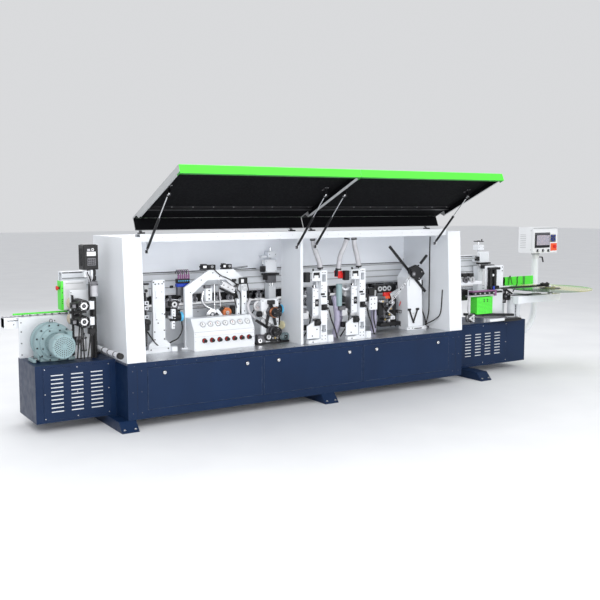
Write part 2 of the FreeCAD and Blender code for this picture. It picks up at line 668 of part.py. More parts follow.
def lifting_columns():
    """Two posts with the screws that raise the pressure beam, and their caps."""
    columns = []
    for column in ("left_column_x", "right_column_x"):
        centre_x = f"{column} + column_size / 2"
        centre_y = "column_y + column_size / 2"
        post = box(column, "column_y", "deck_top", "column_size", "column_size",
                   "column_top - deck_top")
        screw = rod("z", centre_x, centre_y, "column_top", "screw_radius",
                    "cap_bottom - column_top")
        cap = box(f"{column} - cap_over", "column_y - cap_over", "cap_bottom",
                  "column_size + 2 * cap_over", "column_size + cap_over", "cap_height")
        columns.append(fuse(post, screw, cap))
    keep("lifting_columns", group(*columns))


# ---------------------------------------------------------------- stations

def scraping_frame():
    """The plate of the scraping station with two windows and a broad foot."""
    right = "scraper_x + scraper_width"
    top = "deck_top + scraper_height"
    outline = [("scraper_x", "deck_top"), (right, "deck_top"), (right, "deck_top + scraper_foot"),
               (f"{right} - scraper_neck", "deck_top + scraper_foot + scraper_neck"),
               (f"{right} - scraper_neck", top), ("scraper_x + scraper_neck", top),
               ("scraper_x + scraper_neck", "deck_top + scraper_foot + scraper_neck"),
               ("scraper_x", "deck_top + scraper_foot")]
    windows = [rectangle("scraper_x + (scraper_width - window) / 2", f"deck_top + {share} *"
                         " scraper_height", "window", "window") for share in (0.45, 0.75)]
    keep("scraping_frame", prism("XZ", outline, "scraper_y", "plate_thick", windows))


def corner_frame():
    """The gantry plate of the corner rounding station."""
    right = "corner_x + corner_width"
    top = "deck_top + corner_height"
    peak = "corner_x + corner_top_shift"
    inner_top = f"{top} - corner_top_thick"
    outer = [("corner_x", "deck_top"), ("corner_x + corner_rib", "deck_top"),
             ("corner_x + corner_rib", "deck_top + corner_inner_rise"),
             (f"{peak} - corner_inner_lead", inner_top),
             (f"{peak} + corner_top_width - corner_inner_end", inner_top),
             (f"{right} - corner_rib", "deck_top + corner_inner_rise"),
             (f"{right} - corner_rib", "deck_top"), (right, "deck_top"),
             (right, "deck_top + corner_right_shoulder"),
             (f"{peak} + corner_top_width", top), (peak, top),
             ("corner_x", "deck_top + corner_shoulder")]
    keep("corner_frame", prism("XZ", outer, "corner_y", "plate_thick"))


def pneumatic_panel():
    """The hollow desk with its sloping face for the gauges."""
    def section(inset):
        front = f"panel_y + {inset}"
        back = f"panel_y + panel_depth - {inset}"
        top = f"deck_top + panel_height - {inset}"
        return [(front, f"deck_top + {inset}"), (back, f"deck_top + {inset}"), (back, top),
                (f"{front} + panel_slope_run", top),
                (front, "deck_top + panel_front_height")]
    shell = prism("YZ", section("0"), "panel_x", "panel_length")
    hollow = prism("YZ", section("panel_wall"), "panel_x + panel_wall",
                   "panel_length - 2 * panel_wall")
    keep("pneumatic_panel", cut(shell, hollow))


def trim_unit():
    """The flush trimming station: a windowed plate with an upper and a lower motor."""
    outline = rectangle("trim_x", "deck_top", "trim_width", "trim_height")
    frame = prism("XZ", outline, "trim_y", "plate_thick")
    motors = [rod("y", "trim_x + trim_width / 2", "trim_y - trim_motor_length",
                  f"deck_top + {share} * trim_height", "trim_motor_radius",
                  "trim_motor_length + plate_thick + plate_thick")
              for share in (0.3, 0.72)]
    keep("trim_unit", fuse(frame, *motors))


def suction_spout():
    """The spout under the middle hose, on an arm from the right saw's column."""
    low = "spout_top - spout_length"
    spout = rod("z", "spout_x", "spout_y", low, "spout_radius", "spout_length")
    arm = box("spout_x", "spout_y - saw_wall", low, "right_saw_x - spout_x + saw_wall",
              "2 * saw_wall", "2 * saw_wall")
    return [spout, arm]


def saw_frame(name, place_x, fittings=()):
    """The tall column of an end cutting saw, with windows through its face."""
    front = "saw_frame_y"
    column = box(place_x, front, "deck_top", "saw_frame_width", "saw_frame_depth",
                 "saw_frame_height")
    foot = box(f"{place_x} - saw_foot_width / 4", front, "deck_top", "saw_foot_width",
               "saw_frame_depth", "saw_foot_height")
    middle = f"{place_x} + (saw_frame_width - saw_window) / 2"
    windows = [box(middle, f"{front} - saw_wall", f"deck_top + {share} * saw_frame_height",
                   "saw_window", "saw_frame_depth + 2 * saw_wall", "1.6 * saw_window")
               for share in (0.14, 0.84)]
    rail = box(f"{place_x} - saw_rail", f"{front} + saw_frame_depth / 2 - saw_rail",
               "deck_top + saw_foot_height", "saw_rail", "2 * saw_rail",
               "saw_frame_height - 2 * saw_foot_height")
    keep(f"{name}_saw_frame", fuse(cut(fuse(column, foot), *windows), rail, *fittings))


def saw_carriage(name, place_x):
    """The sliding carriage of a saw, with its motor and disc, round the frame's rail."""
    right = f"{place_x} - saw_gap"
    rail_front = "saw_frame_y + saw_frame_depth / 2 - saw_rail - saw_gap"
    plate = box(f"{right} - saw_carriage_width", "carriage_front", "saw_carriage_z",
                "saw_carriage_width", "saw_frame_y + saw_frame_depth - saw_wall - carriage_front",
                "saw_carriage_height")
    channel = box(f"{place_x} - saw_rail - saw_gap", rail_front,
                  "saw_carriage_z - saw_wall", "2 * saw_rail", "2 * (saw_rail + saw_gap)",
                  "saw_carriage_height + 2 * saw_wall")
    centre_x = f"{right} - saw_carriage_width / 2"
    centre_z = "saw_carriage_z + saw_carriage_height / 2"
    motor = rod("y", centre_x, "saw_frame_y + saw_frame_depth - 2 * saw_wall", centre_z,
                "saw_motor_radius", "saw_motor_length")
    disc = rod("y", centre_x, "saw_frame_y + saw_frame_depth + saw_motor_length", centre_z,
               "saw_disc_radius", "saw_disc_thick")
    hub = rod("y", centre_x, "saw_frame_y + saw_frame_depth", centre_z, "buff_shaft",
              "saw_motor_length + saw_disc_thick")
    keep(f"{name}_saw_carriage", fuse(cut(plate, channel), motor, disc, hub))


def glue_pillar():
    """The pointed pillar of the gluing station."""
    right = "pillar_x + pillar_width"
    outline = [("pillar_x", "deck_top"), (right, "deck_top"),
               (f"{right} - pillar_lean / 2", "deck_top + pillar_shoulder"),
               ("pillar_x + 0.62 * pillar_width", "deck_top + pillar_height"),
               ("pillar_x + 0.3 * pillar_width", "deck_top + pillar_height"),
               ("pillar_x - pillar_lean / 2", "deck_top + pillar_shoulder")]
    body = prism("XZ", outline, "pillar_y", "pillar_depth")
    pin = rod("y", "arm_x", "pillar_y - arm_gap - arm_thick - arm_gap", "arm_z", "arm_pin",
              "arm_thick + 2 * arm_gap")
    keep("glue_pillar", fuse(body, pin))


def pressing_arm():
    """The lever in front of the pillar, turning on its pin."""
    bar = box("-arm_back", "-arm_thick", "-arm_width / 2", "arm_length", "arm_thick",
              "arm_width")
    boss = rod("y", 0, "-arm_thick", 0, "1.6 * arm_pin + arm_gap", "arm_thick")
    bore = rod("y", 0, "-2 * arm_thick", 0, "arm_pin + running_fit", "3 * arm_thick")
    arm = keep("pressing_arm", cut(fuse(bar, boss), bore))
    arm.Placement = FreeCAD.Placement(
        FreeCAD.Vector(), FreeCAD.Rotation(FreeCAD.Vector(0, 1, 0), -1))
    bind(arm, "Placement.Rotation.Angle", "arm_angle")
    place(arm, "arm_x", "pillar_y - arm_gap", "arm_z")


# ---------------------------------------------------------------- outfeed end

def outfeed_plate():
    """The side plate under the outfeed track, with the block and bar beside the cabinet."""
    plate = box("left_end", "outplate_y", "deck_top", "left_box_length", "outplate_thick",
                "outplate_top - deck_top")
    block = box("bar_x - bar_block / 2", "outplate_y - bar_block", "deck_top", "bar_block",
                "bar_block", "bar_z - deck_top + bar_radius")
    bar = rod("y", "bar_x", "-bar_front", "bar_z", "bar_radius", "outplate_y + bar_front")
    keep("outfeed_plate", fuse(plate, block, bar))


def drive_gearmotor():
    """The feed drive: fan cowl, motor body, flange and gearbox."""
    outline = [(0, 0), ("motor_cowl_radius", 0), ("motor_cowl_radius", "motor_cowl_length"),
               ("motor_radius", "motor_cowl_length"), ("motor_radius", "motor_length"),
               ("motor_flange_radius", "motor_length"),
               ("motor_flange_radius", "motor_length + motor_flange"),
               (0, "motor_length + motor_flange")]
    motor = turned("y", "motor_x", "motor_y", "motor_z", outline)
    gearbox = box("motor_x - gear_width / 2", "gear_front", "deck_top", "gear_width",
                  "gear_depth", "gear_height")
    keep("drive_gearmotor", fuse(motor, gearbox))


def buffing_station():
    """The stand, its two motors, and the two buffing wheels on their shafts."""
    heights = ("buff_low", "buff_high")
    bores = [("buff_x", height, "buff_shaft + running_fit") for height in heights]
    outline = rectangle("stand_x", "deck_top", "stand_width", "stand_height")
    keep("buffing_stand", prism("XZ", outline, "stand_y", "stand_thick", bores))
    motors = []
    for name, height in zip(("lower", "upper"), heights):
        start = "stand_y - buff_motor_length"
        body = rod("y", "buff_x", start, height, "buff_motor_radius", "buff_motor_length")
        bore = rod("y", "buff_x", "stand_y - buff_shaft", height, "buff_shaft + running_fit",
                   "2 * buff_shaft")
        motors.append(cut(body, bore))
        shaft = rod("y", "buff_x", "stand_y - buff_shaft + hinge_gap", height, "buff_shaft",
                    "stand_thick + buff_reach + buff_shaft")
        wheel = rod("y", "buff_x", "stand_y + stand_thick + buff_reach - buff_width", height,
                    "buff_radius", "buff_width")
        keep(f"{name}_buffing_wheel", fuse(shaft, wheel))
    keep("buffing_motors", group(*motors))


def switch_box():
    """The black control box above the buffing motors, on its post."""
    body = box("switch_x", "switch_y", "switch_z", "switch_width", "switch_depth",
               "switch_height")
    post = box("switch_x + switch_width - switch_post", "switch_y + switch_depth - switch_post",
               "deck_top", "switch_post", "switch_post", "switch_z - deck_top")
    keep("switch_box", fuse(body, post))


def outfeed_control_box():
    """The small cabinet at the outfeed end, on a post behind the gearbox."""
    body = box("outbox_x", "outbox_y", "outbox_z", "outbox_width", "outbox_depth",
               "outbox_height")
    post = box("outbox_x + outbox_width / 2 - outbox_post / 2",
               "outbox_y + outbox_depth - outbox_post", "deck_top", "outbox_post",
               "outbox_post", "outbox_z - deck_top")
    keep("outfeed_control_box", fuse(body, post))


# ---------------------------------------------------------------- infeed end

def infeed_plate():
    """The tall white plate of the tape feed, and the side panel on its own foot beside it."""
    outline = rectangle("inplate_x", "deck_top", "inplate_width", "inplate_top - deck_top")
    plate = prism("XZ", outline, "inplate_y", "inplate_thick")
    panel = box("side_panel_x", "side_panel_y", "side_panel_z", "side_panel_length",
                "side_panel_thick", "side_panel_height")
    foot = box("side_panel_x", "side_panel_y", "deck_top", "side_panel_foot",
               "side_panel_foot", "side_panel_z + side_panel_height - deck_top")
    keep("infeed_plate", group(plate, fuse(panel, foot)))


def green_guard():
    """The perforated guard over the tape feed, open towards the plate."""
    shell = box("guard_x", "guard_y", "guard_z", "guard_width", "guard_depth", "guard_height")
    hollow = box("guard_x + guard_wall", "guard_y + guard_wall", "guard_z + guard_wall",
                 "guard_width - 2 * guard_wall", "guard_depth", "guard_height - 2 * guard_wall")
    keep("green_guard", cut(shell, hollow))


def tray_beam():
    """The arm that carries the tape tray, its cross arm, its post and the bellows column."""
    low_y = "tray_y - arm_beam_width / 2"
    main = box("beam_start", low_y, "arm_beam_z", "beam_end - beam_start", "arm_beam_width",
               "arm_beam_height")
    cross = box("post_x", "tray_y", "arm_beam_z", "post_size", "post_y + post_size - tray_y",
                "arm_beam_height")
    post = box("post_x", "post_y", "deck_top", "post_size", "post_size",
               "arm_beam_z - deck_top + arm_beam_height")
    bellows = rod("z", "post_x - bellows_radius - post_size / 4", "post_y + post_size / 2",
                  "deck_top", "bellows_radius", "arm_beam_z - deck_top + arm_beam_height / 2")
    pin = rod("z", "tray_x", "tray_y", "arm_beam_z", "tray_pin",
              "tray_z + tray_hub_height - arm_beam_z")
    washer = rod("z", "tray_x", "tray_y", "arm_beam_z", "2 * tray_pin",
                 "tray_z - arm_beam_z - hinge_gap")
    keep("tray_beam", fuse(main, cross, post, bellows, pin, washer))


def tape_tray():
    """The round tray for the coil of edging, turning on its pin."""
    bore = "tray_pin + running_fit"
    outline = [(bore, 0), ("tray_radius", 0), ("tray_radius", "tray_thick"),
               ("tray_hub", "tray_thick"), ("tray_hub", "tray_hub_height / 2"),
               (bore, "tray_hub_height / 2")]
    keep("tape_tray", turned("z", "tray_x", "tray_y", "tray_z", outline))


def hmi_post():
    """The bent pole from the infeed cabinet's end face up to the control head."""
    foot_x = "base_right + right_box_length"
    bend = value("pole_bend")
    reach = value(f"pole_x - ({foot_x})")
    rise = value("pole_top - pole_foot")
    body = doc.addObject("PartDesign::Body", "Pole")
    path = new_sketch(body, "XZ_Plane")
    bend_start = FreeCAD.Vector(reach - bend, 0, 0)
    bend_end = FreeCAD.Vector(reach, bend, 0)
    centre = FreeCAD.Vector(reach - bend, bend, 0)
    circle = Part.Circle(centre, FreeCAD.Vector(0, 0, 1), bend)
    path.addGeometry(Part.LineSegment(FreeCAD.Vector(), bend_start), False)
    path.addGeometry(Part.ArcOfCircle(circle, -math.pi / 2, 0), False)
    path.addGeometry(Part.LineSegment(bend_end, FreeCAD.Vector(reach, rise, 0)), False)
    for rule in (("Coincident", 0, 1, -1, 1), ("Horizontal", 0), ("Tangent", 0, 2, 1, 1),
                 ("Tangent", 1, 2, 2, 1), ("Vertical", 2)):
        path.addConstraint(Sketcher.Constraint(*rule))
    for rule, text in ((("Radius", 1, bend), "pole_bend"),
                       (("DistanceX", -1, 1, 2, 2, reach), f"pole_x - ({foot_x})"),
                       (("DistanceY", -1, 1, 2, 2, rise), "pole_top - pole_foot")):
        held = path.addConstraint(Sketcher.Constraint(*rule))
        bind(path, f"Constraints[{held}]", text)
    ring = new_sketch(body, "YZ_Plane")
    trace_circle(ring, 0, 0, "pole_radius")
    pipe = body.newObject("PartDesign::AdditivePipe", "Pipe")
    pipe.Profile = ring
    pipe.Spine = path
    body.Tip = pipe
    place(body, foot_x, "pole_y", "pole_foot")
    spigot = rod("z", "pole_x", "pole_y", "pole_top", "pole_spigot", "pole_spigot_height")
    keep("hmi_post", fuse(body, spigot))


def hmi_head():
    """The control head that swivels on the pole's spigot, with the bore of its stop button."""
    z_low = "pole_top + hinge_gap"
    shell = box("hmi_left", "hmi_front", z_low, "hmi_width", "hmi_depth", "hmi_height")
    socket = rod("z", "pole_x", "pole_y", z_low, "pole_spigot + running_fit",
                 "pole_spigot_height")
    stop_x = "hmi_left + hmi_width - estop_inset"
    bore = rod("y", stop_x, "hmi_front", f"{z_low} + estop_rise", "estop_stem + running_fit",
               "estop_bore_depth")
    keep("hmi_head", cut(shell, socket, bore))
    cap = rod("y", stop_x, "hmi_front - estop_proud", f"{z_low} + estop_rise", "estop_radius",
              "estop_proud - estop_travel - hinge_gap")
    stem = rod("y", stop_x, "hmi_front - estop_proud", f"{z_low} + estop_rise", "estop_stem",
               "estop_proud + estop_bore_depth - estop_travel - hinge_gap")
    keep("hmi_emergency_stop", fuse(cap, stem))


# ---------------------------------------------------------------- hoses and cables

def tube_along(label, radius):
    """A tube of straight runs joined by tangent arcs as large as the runs allow."""
    first, last, bends = CORDS[label]
    low = FreeCAD.Vector(*[value(text) for text in first])
    way = FreeCAD.Vector(*[value(text) for text in last]) - low
    points = [low]
    for share in bends:
        points.append(low + FreeCAD.Vector(*[part * run for part, run in zip(share, way)]))
    points.append(low + way)
    edges = []
    start = points[0]
    arc_radii = []
    length = 0
    for before, corner, after in zip(points, points[1:], points[2:]):
        back = before - corner
        ahead = after - corner
        half = (math.pi - back.getAngle(ahead)) / 2
        reach = 0.45 * min(back.Length, ahead.Length)
        arc_radii.append(reach / math.tan(half))
        back.normalize()
        ahead.normalize()
        enter = corner + back * reach
        leave = corner + ahead * reach
        middle_way = back + ahead
        middle_way.normalize()
        middle = corner + middle_way * (arc_radii[-1] / math.cos(half) - arc_radii[-1])
        edges.append(Part.LineSegment(start, enter).toShape())
        edges.append(Part.Arc(enter, middle, leave).toShape())
        length += (enter - start).Length + 2 * half * arc_radii[-1]
        start = leave
    edges.append(Part.LineSegment(start, points[-1]).toShape())
    length += (points[-1] - start).Length
    ring = Part.Wire([Part.Circle(points[0], points[1] - points[0], radius).toShape()])
    tube = doc.addObject("Part::Feature", "Tube")
    tube.Shape = Part.Wire(edges).makePipeShell([ring], True, False)
    share = tube.Shape.Volume / (math.pi * radius ** 2 * length)
    print(f"{label}: length {length:.0f} mm, radii {[round(r) for r in arc_radii]}, "
          f"volume ratio {share:.4f}")
    return tube


def dust_hoses():
    """Three limp extraction hoses from the beam to the end cutting saws."""
    for label in ("left_dust_hose", "middle_dust_hose", "right_dust_hose"):
        keep(label, tube_along(label, size("hose_radius")))


def clipped_cables():
    """Two cables clipped to the inner face of the right tower and to the outfeed stand."""
    tubes = [tube_along(label, size("cable_radius")) for label in ("wall_cable", "box_cable")]
    keep("clipped_cables", group(*tubes))


# ---------------------------------------------------------------- build and write

def build():
    """Make every sub-part."""
    fill_sheet()
    main_base()
    deck_plate()
    feet()
    end_box("left_end_box", "left_end", "left_box_length", "left_vent_start",
            "left_vent_length")
    end_box("right_end_box", "base_right", "right_box_length", "right_vent_start",
            "right_vent_length")
    vent_panels()
    doors_and_locks()
    tower("left_tower", "base_left", "left_tower_width")
    tower("right_tower", "bay_right", "right_tower_width")
    top_beam()
    rear_cover()
    partition()
    hood("left", "-bay_left + hood_gap", "-hood_seam - hood_gap / 2")
    hood("right", "-hood_seam + hood_gap / 2", "bay_right - hood_gap")
    strut_pair("left")
    strut_pair("right")
    conveyor()
    pressure_beam()
    pressure_rollers()
    lifting_columns()
    scraping_frame()
    corner_frame()
    pneumatic_panel()
    trim_unit()
    saw_frame("left", "left_saw_x")
    saw_frame("right", "right_saw_x", suction_spout())
    for name in ("left", "right"):
        saw_carriage(name, f"{name}_saw_x")
    glue_pillar()
    pressing_arm()
    outfeed_plate()
    drive_gearmotor()
    buffing_station()
    switch_box()
    outfeed_control_box()
    infeed_plate()
    green_guard()
    tray_beam()
    tape_tray()
    hmi_post()
    hmi_head()
    dust_hoses()
    clipped_cables()
    doc.recompute()


def write():
    """Check every object, then write one STEP file for each sub-part."""
    failed = [item.Label for item in doc.Objects
              if "Invalid" in item.State or "Error" in item.State]
    if failed:
        raise RuntimeError("objects failed: " + ", ".join(failed))
    for part in sub_parts:
        if part.Shape.isNull() or not part.Shape.isValid():
            raise RuntimeError("bad shape: " + part.Label)
    for part in sub_parts:
        part.Shape.exportStep(f"parts/{part.Label}.step")
    print(len(sub_parts), "sub-parts written")


build()
write()
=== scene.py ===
import json
import math
from itertools import product

import bmesh
import bpy
from mathutils import Matrix, Vector


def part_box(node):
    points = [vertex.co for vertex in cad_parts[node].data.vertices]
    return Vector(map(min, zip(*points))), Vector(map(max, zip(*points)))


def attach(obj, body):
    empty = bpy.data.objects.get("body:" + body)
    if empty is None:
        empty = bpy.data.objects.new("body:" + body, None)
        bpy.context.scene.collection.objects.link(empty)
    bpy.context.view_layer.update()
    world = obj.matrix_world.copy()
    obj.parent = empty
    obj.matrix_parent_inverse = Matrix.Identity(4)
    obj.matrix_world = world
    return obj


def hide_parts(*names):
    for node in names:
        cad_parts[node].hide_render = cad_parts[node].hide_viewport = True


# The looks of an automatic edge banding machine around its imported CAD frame.
# Pieces are drawn in millimetres in the frame's own axes and scaled to metres when finished.

MM = 0.001
SHARP = 0.6
HOOD_SLOPE = 23.2
HOOD_REACH = 1040
HOOD_DEPTH = 135
HOOD_LIP = 70
HOOD_SIDE = 55
HINGE_KNUCKLE = 2.7
HOOD_NOTCH_NEAR = 81.8
HOOD_NOTCH_FAR = 123.2
HOOD_NOTCH_LOW = -122

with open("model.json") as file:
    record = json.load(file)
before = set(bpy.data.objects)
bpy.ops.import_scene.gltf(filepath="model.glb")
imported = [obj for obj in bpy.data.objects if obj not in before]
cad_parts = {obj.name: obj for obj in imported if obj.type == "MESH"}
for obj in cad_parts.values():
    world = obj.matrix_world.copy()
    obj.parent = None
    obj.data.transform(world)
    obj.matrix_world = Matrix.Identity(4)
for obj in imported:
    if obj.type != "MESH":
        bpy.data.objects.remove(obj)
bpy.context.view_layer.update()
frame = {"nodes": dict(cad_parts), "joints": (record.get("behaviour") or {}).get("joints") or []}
nodes = frame["nodes"]
joints = {joint["name"]: joint for joint in frame["joints"]}


def corners(node):
    """The lowest and highest corner of a CAD node, in millimetres."""
    low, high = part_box(node)
    return low / MM, high / MM


def pivot_of(joint):
    """The place of a joint, in millimetres."""
    return Vector(joints[joint]["pos_m"]) / MM


DECK = corners("deck_plate")[1].z
ON_DECK = DECK + 1
DOOR_LOCK_Z = pivot_of("left_door_left_lock_turn").z
STRUT_PIVOT = pivot_of("left_strut_pivot")
BUFFING_X = pivot_of("lower_buffing_spin").x
BUFFING_LEVELS = {name: pivot_of(f"{name}_buffing_spin").z for name in ("lower", "upper")}
LEVER_PIVOT = pivot_of("pressing_arm_turn")
POLE = pivot_of("hmi_swivel")
RIM_WIDTH = 2.2
BEAM_TOP = 1645
BEAM_BOTTOM = 1577
STRUT_MOUNT_ALONG = 659
STRUT_MOUNT_DEPTH = 66
ROLLER_LEVEL = 978
ROLLER_PITCH = 130
GAUGE_PITCH = 77
FIRST_GAUGE = -1182

# ---------------------------------------------------------------- materials

def shader(name):
    """A new material with its nodes, links, principled shader and object coordinates."""
    material = bpy.data.materials.new(name)
    material.use_nodes = True
    tree = material.node_tree
    surface = tree.nodes["Principled BSDF"]
    place = tree.nodes.new("ShaderNodeTexCoord").outputs["Object"]
    return material, tree, surface, place


def noise(tree, place, scale, detail=3.0, stretch=None, distortion=0.0):
    """A noise pattern over the object, stretched along the axes if asked."""
    if stretch:
        mapping = tree.nodes.new("ShaderNodeMapping")
        mapping.inputs["Scale"].default_value = stretch
        tree.links.new(place, mapping.inputs["Vector"])
        place = mapping.outputs["Vector"]
    pattern = tree.nodes.new("ShaderNodeTexNoise")
    pattern.inputs["Scale"].default_value = scale
    pattern.inputs["Detail"].default_value = detail
    pattern.inputs["Distortion"].default_value = distortion
    tree.links.new(place, pattern.inputs["Vector"])
    return pattern.outputs["Fac"]


def ranged(tree, value, low, high, start=0.3, end=0.7):
    """A pattern's value spread between two limits."""
    spread = tree.nodes.new("ShaderNodeMapRange")
    spread.inputs["From Min"].default_value = start
    spread.inputs["From Max"].default_value = end
    spread.inputs["To Min"].default_value = low
    spread.inputs["To Max"].default_value = high
    tree.links.new(value, spread.inputs["Value"])
    return spread.outputs["Result"]


def mixed(tree, factor, first, second, blend="MIX"):
    """Two colours mixed by a factor, each a tuple or another node's output."""
    mix = tree.nodes.new("ShaderNodeMix")
    mix.data_type = "RGBA"
    mix.blend_type = blend
    if isinstance(factor, float):
        mix.inputs[0].default_value = factor
    else:
        tree.links.new(factor, mix.inputs[0])
    for socket, colour in ((mix.inputs[6], first), (mix.inputs[7], second)):
        if isinstance(colour, tuple):
            socket.default_value = (*colour, 1)
        else:
            tree.links.new(colour, socket)
    return mix.outputs[2]


def bumped(tree, surface, height, distance, strength=1.0):
    """A bump on the surface from a pattern."""
    bump = tree.nodes.new("ShaderNodeBump")
    bump.inputs["Strength"].default_value = strength
    bump.inputs["Distance"].default_value = distance
    tree.links.new(height, bump.inputs["Height"])
    if surface.inputs["Normal"].is_linked:
        before = surface.inputs["Normal"].links[0].from_socket
        tree.links.new(before, bump.inputs["Normal"])
    tree.links.new(bump.outputs["Normal"], surface.inputs["Normal"])


def edge_mask(tree, place):
    """Where an edge has rubbed, broken up by noise: the rounded normal leaves the flat one."""
    rounded = tree.nodes.new("ShaderNodeBevel")
    rounded.samples = 4
    rounded.inputs["Radius"].default_value = 0.0022
    facing = tree.nodes.new("ShaderNodeVectorMath")
    facing.operation = "DOT_PRODUCT"
    tree.links.new(rounded.outputs["Normal"], facing.inputs[0])
    tree.links.new(tree.nodes.new("ShaderNodeNewGeometry").outputs["Normal"], facing.inputs[1])
    rubbed = ranged(tree, facing.outputs["Value"], 0.0, 1.0, 0.97, 0.86)
    broken = ranged(tree, noise(tree, place, 24, 6), 0.0, 1.0, 0.45, 0.6)
    product_node = tree.nodes.new("ShaderNodeMath")
    product_node.operation = "MULTIPLY"
    tree.links.new(rubbed, product_node.inputs[0])
    tree.links.new(broken, product_node.inputs[1])
    return product_node.outputs[0]


def tinted(colour, factor):
    """A colour made darker or lighter."""
    return tuple(min(1.0, part * factor) for part in colour)


def painted(name, colour, rough=0.4, change=0.06, peel=900, peel_depth=0.00002, wear=None,
            gloss=0.5, dust=None):
    """Sprayed paint: slow colour drift, fine specks, orange peel and rubbed edges."""
    material, tree, surface, place = shader(name)
    drift = noise(tree, place, 2.3, 4)
    paint = mixed(tree, ranged(tree, drift, 0.0, 1.0), tinted(colour, 1 - change),
                  tinted(colour, 1 + change))
    smears = ranged(tree, noise(tree, place, 6, 7, (1, 1, 0.35), 0.8), 0.0, 0.4, 0.52, 0.78)
    paint = mixed(tree, smears, paint, tinted(colour, 1 - 1.4 * change))
    if dust:
        height = tree.nodes.new("ShaderNodeSeparateXYZ")
        tree.links.new(place, height.inputs[0])
        low = ranged(tree, height.outputs["Z"], 0.35, 0.0, 0.0, 0.35)
        patchy = tree.nodes.new("ShaderNodeMath")
        patchy.operation = "MULTIPLY"
        tree.links.new(low, patchy.inputs[0])
        tree.links.new(ranged(tree, noise(tree, place, 9, 6), 0.1, 1.0), patchy.inputs[1])
        paint = mixed(tree, patchy.outputs[0], paint, dust)
    if wear:
        paint = mixed(tree, edge_mask(tree, place), paint, wear)
    tree.links.new(paint, surface.inputs["Base Color"])
    shine = noise(tree, place, 14, 5)
    tree.links.new(ranged(tree, shine, rough - 0.07, rough + 0.08), surface.inputs["Roughness"])
    bumped(tree, surface, noise(tree, place, peel, 2), peel_depth, 0.6)
    surface.inputs["Specular IOR Level"].default_value = gloss
    return material


def metal(name, colour, rough=0.3, stretch=(1, 1, 1), grain=300, depth=0.00002, stain=None):
    """Bare metal with a machining grain, faint stains and uneven gloss."""
    material, tree, surface, place = shader(name)
    surface.inputs["Metallic"].default_value = 1.0
    lines = noise(tree, place, grain, 3, stretch)
    base = mixed(tree, ranged(tree, lines, 0.0, 1.0), tinted(colour, 0.82), colour)
    blots = ranged(tree, noise(tree, place, 11, 6, None, 0.6), 0.0, 0.55, 0.5, 0.72)
    base = mixed(tree, blots, base, stain or tinted(colour, 0.6))
    tree.links.new(base, surface.inputs["Base Color"])
    gloss = noise(tree, place, 38, 4)
    tree.links.new(ranged(tree, gloss, rough - 0.1, rough + 0.14), surface.inputs["Roughness"])
    bumped(tree, surface, lines, depth, 0.5)
    return material


def plastic(name, colour, rough=0.45, grain=700, depth=0.00003, change=0.12, gloss=0.4):
    """Moulded plastic or rubber with a fine texture and handling marks."""
    material, tree, surface, place = shader(name)
    drift = noise(tree, place, 22, 4)
    base = mixed(tree, ranged(tree, drift, 0.0, 1.0), tinted(colour, 1 - change),
                 tinted(colour, 1 + change))
    scuffs = ranged(tree, noise(tree, place, 75, 6, None, 1.2), 0.0, 0.6, 0.62, 0.74)
    base = mixed(tree, scuffs, base, tinted(colour, 1.35))
    tree.links.new(base, surface.inputs["Base Color"])
    marks = noise(tree, place, 60, 5)
    tree.links.new(ranged(tree, marks, rough - 0.1, rough + 0.1), surface.inputs["Roughness"])
    bumped(tree, surface, noise(tree, place, grain, 2), depth, 0.7)
    surface.inputs["Specular IOR Level"].default_value = gloss
    return material


def cloth_wheel(name):
    """Stitched cotton buffing cloth: layered rings with a frayed nap."""
    material, tree, surface, place = shader(name)
    layers = noise(tree, place, 90, 4, (1, 9, 1))
    nap = noise(tree, place, 420, 4)
    base = mixed(tree, ranged(tree, layers, 0.0, 1.0), (0.55, 0.47, 0.36), (0.86, 0.8, 0.68))
    base = mixed(tree, ranged(tree, nap, 0.0, 0.5), base, (0.4, 0.32, 0.24))
    tree.links.new(base, surface.inputs["Base Color"])
    tree.links.new(ranged(tree, nap, 0.8, 1.0), surface.inputs["Roughness"])
    bumped(tree, surface, nap, 0.0015, 0.8)
    bumped(tree, surface, layers, 0.001, 0.6)
    surface.inputs["Sheen Weight"].default_value = 0.35
    return material


def cast(name, colour, rough=0.42):
    """Painted casting: paint over a rough sand-cast skin."""
    material, tree, surface, place = shader(name)
    skin = noise(tree, place, 130, 5)
    base = mixed(tree, ranged(tree, noise(tree, place, 7, 4), 0.0, 1.0), tinted(colour, 0.9),
                 tinted(colour, 1.1))
    base = mixed(tree, ranged(tree, skin, 0.0, 0.35, 0.55, 0.75), base, tinted(colour, 0.55))
    tree.links.new(base, surface.inputs["Base Color"])
    tree.links.new(ranged(tree, skin, rough - 0.06, rough + 0.14), surface.inputs["Roughness"])
    bumped(tree, surface, skin, 0.0006, 0.5)
    return material


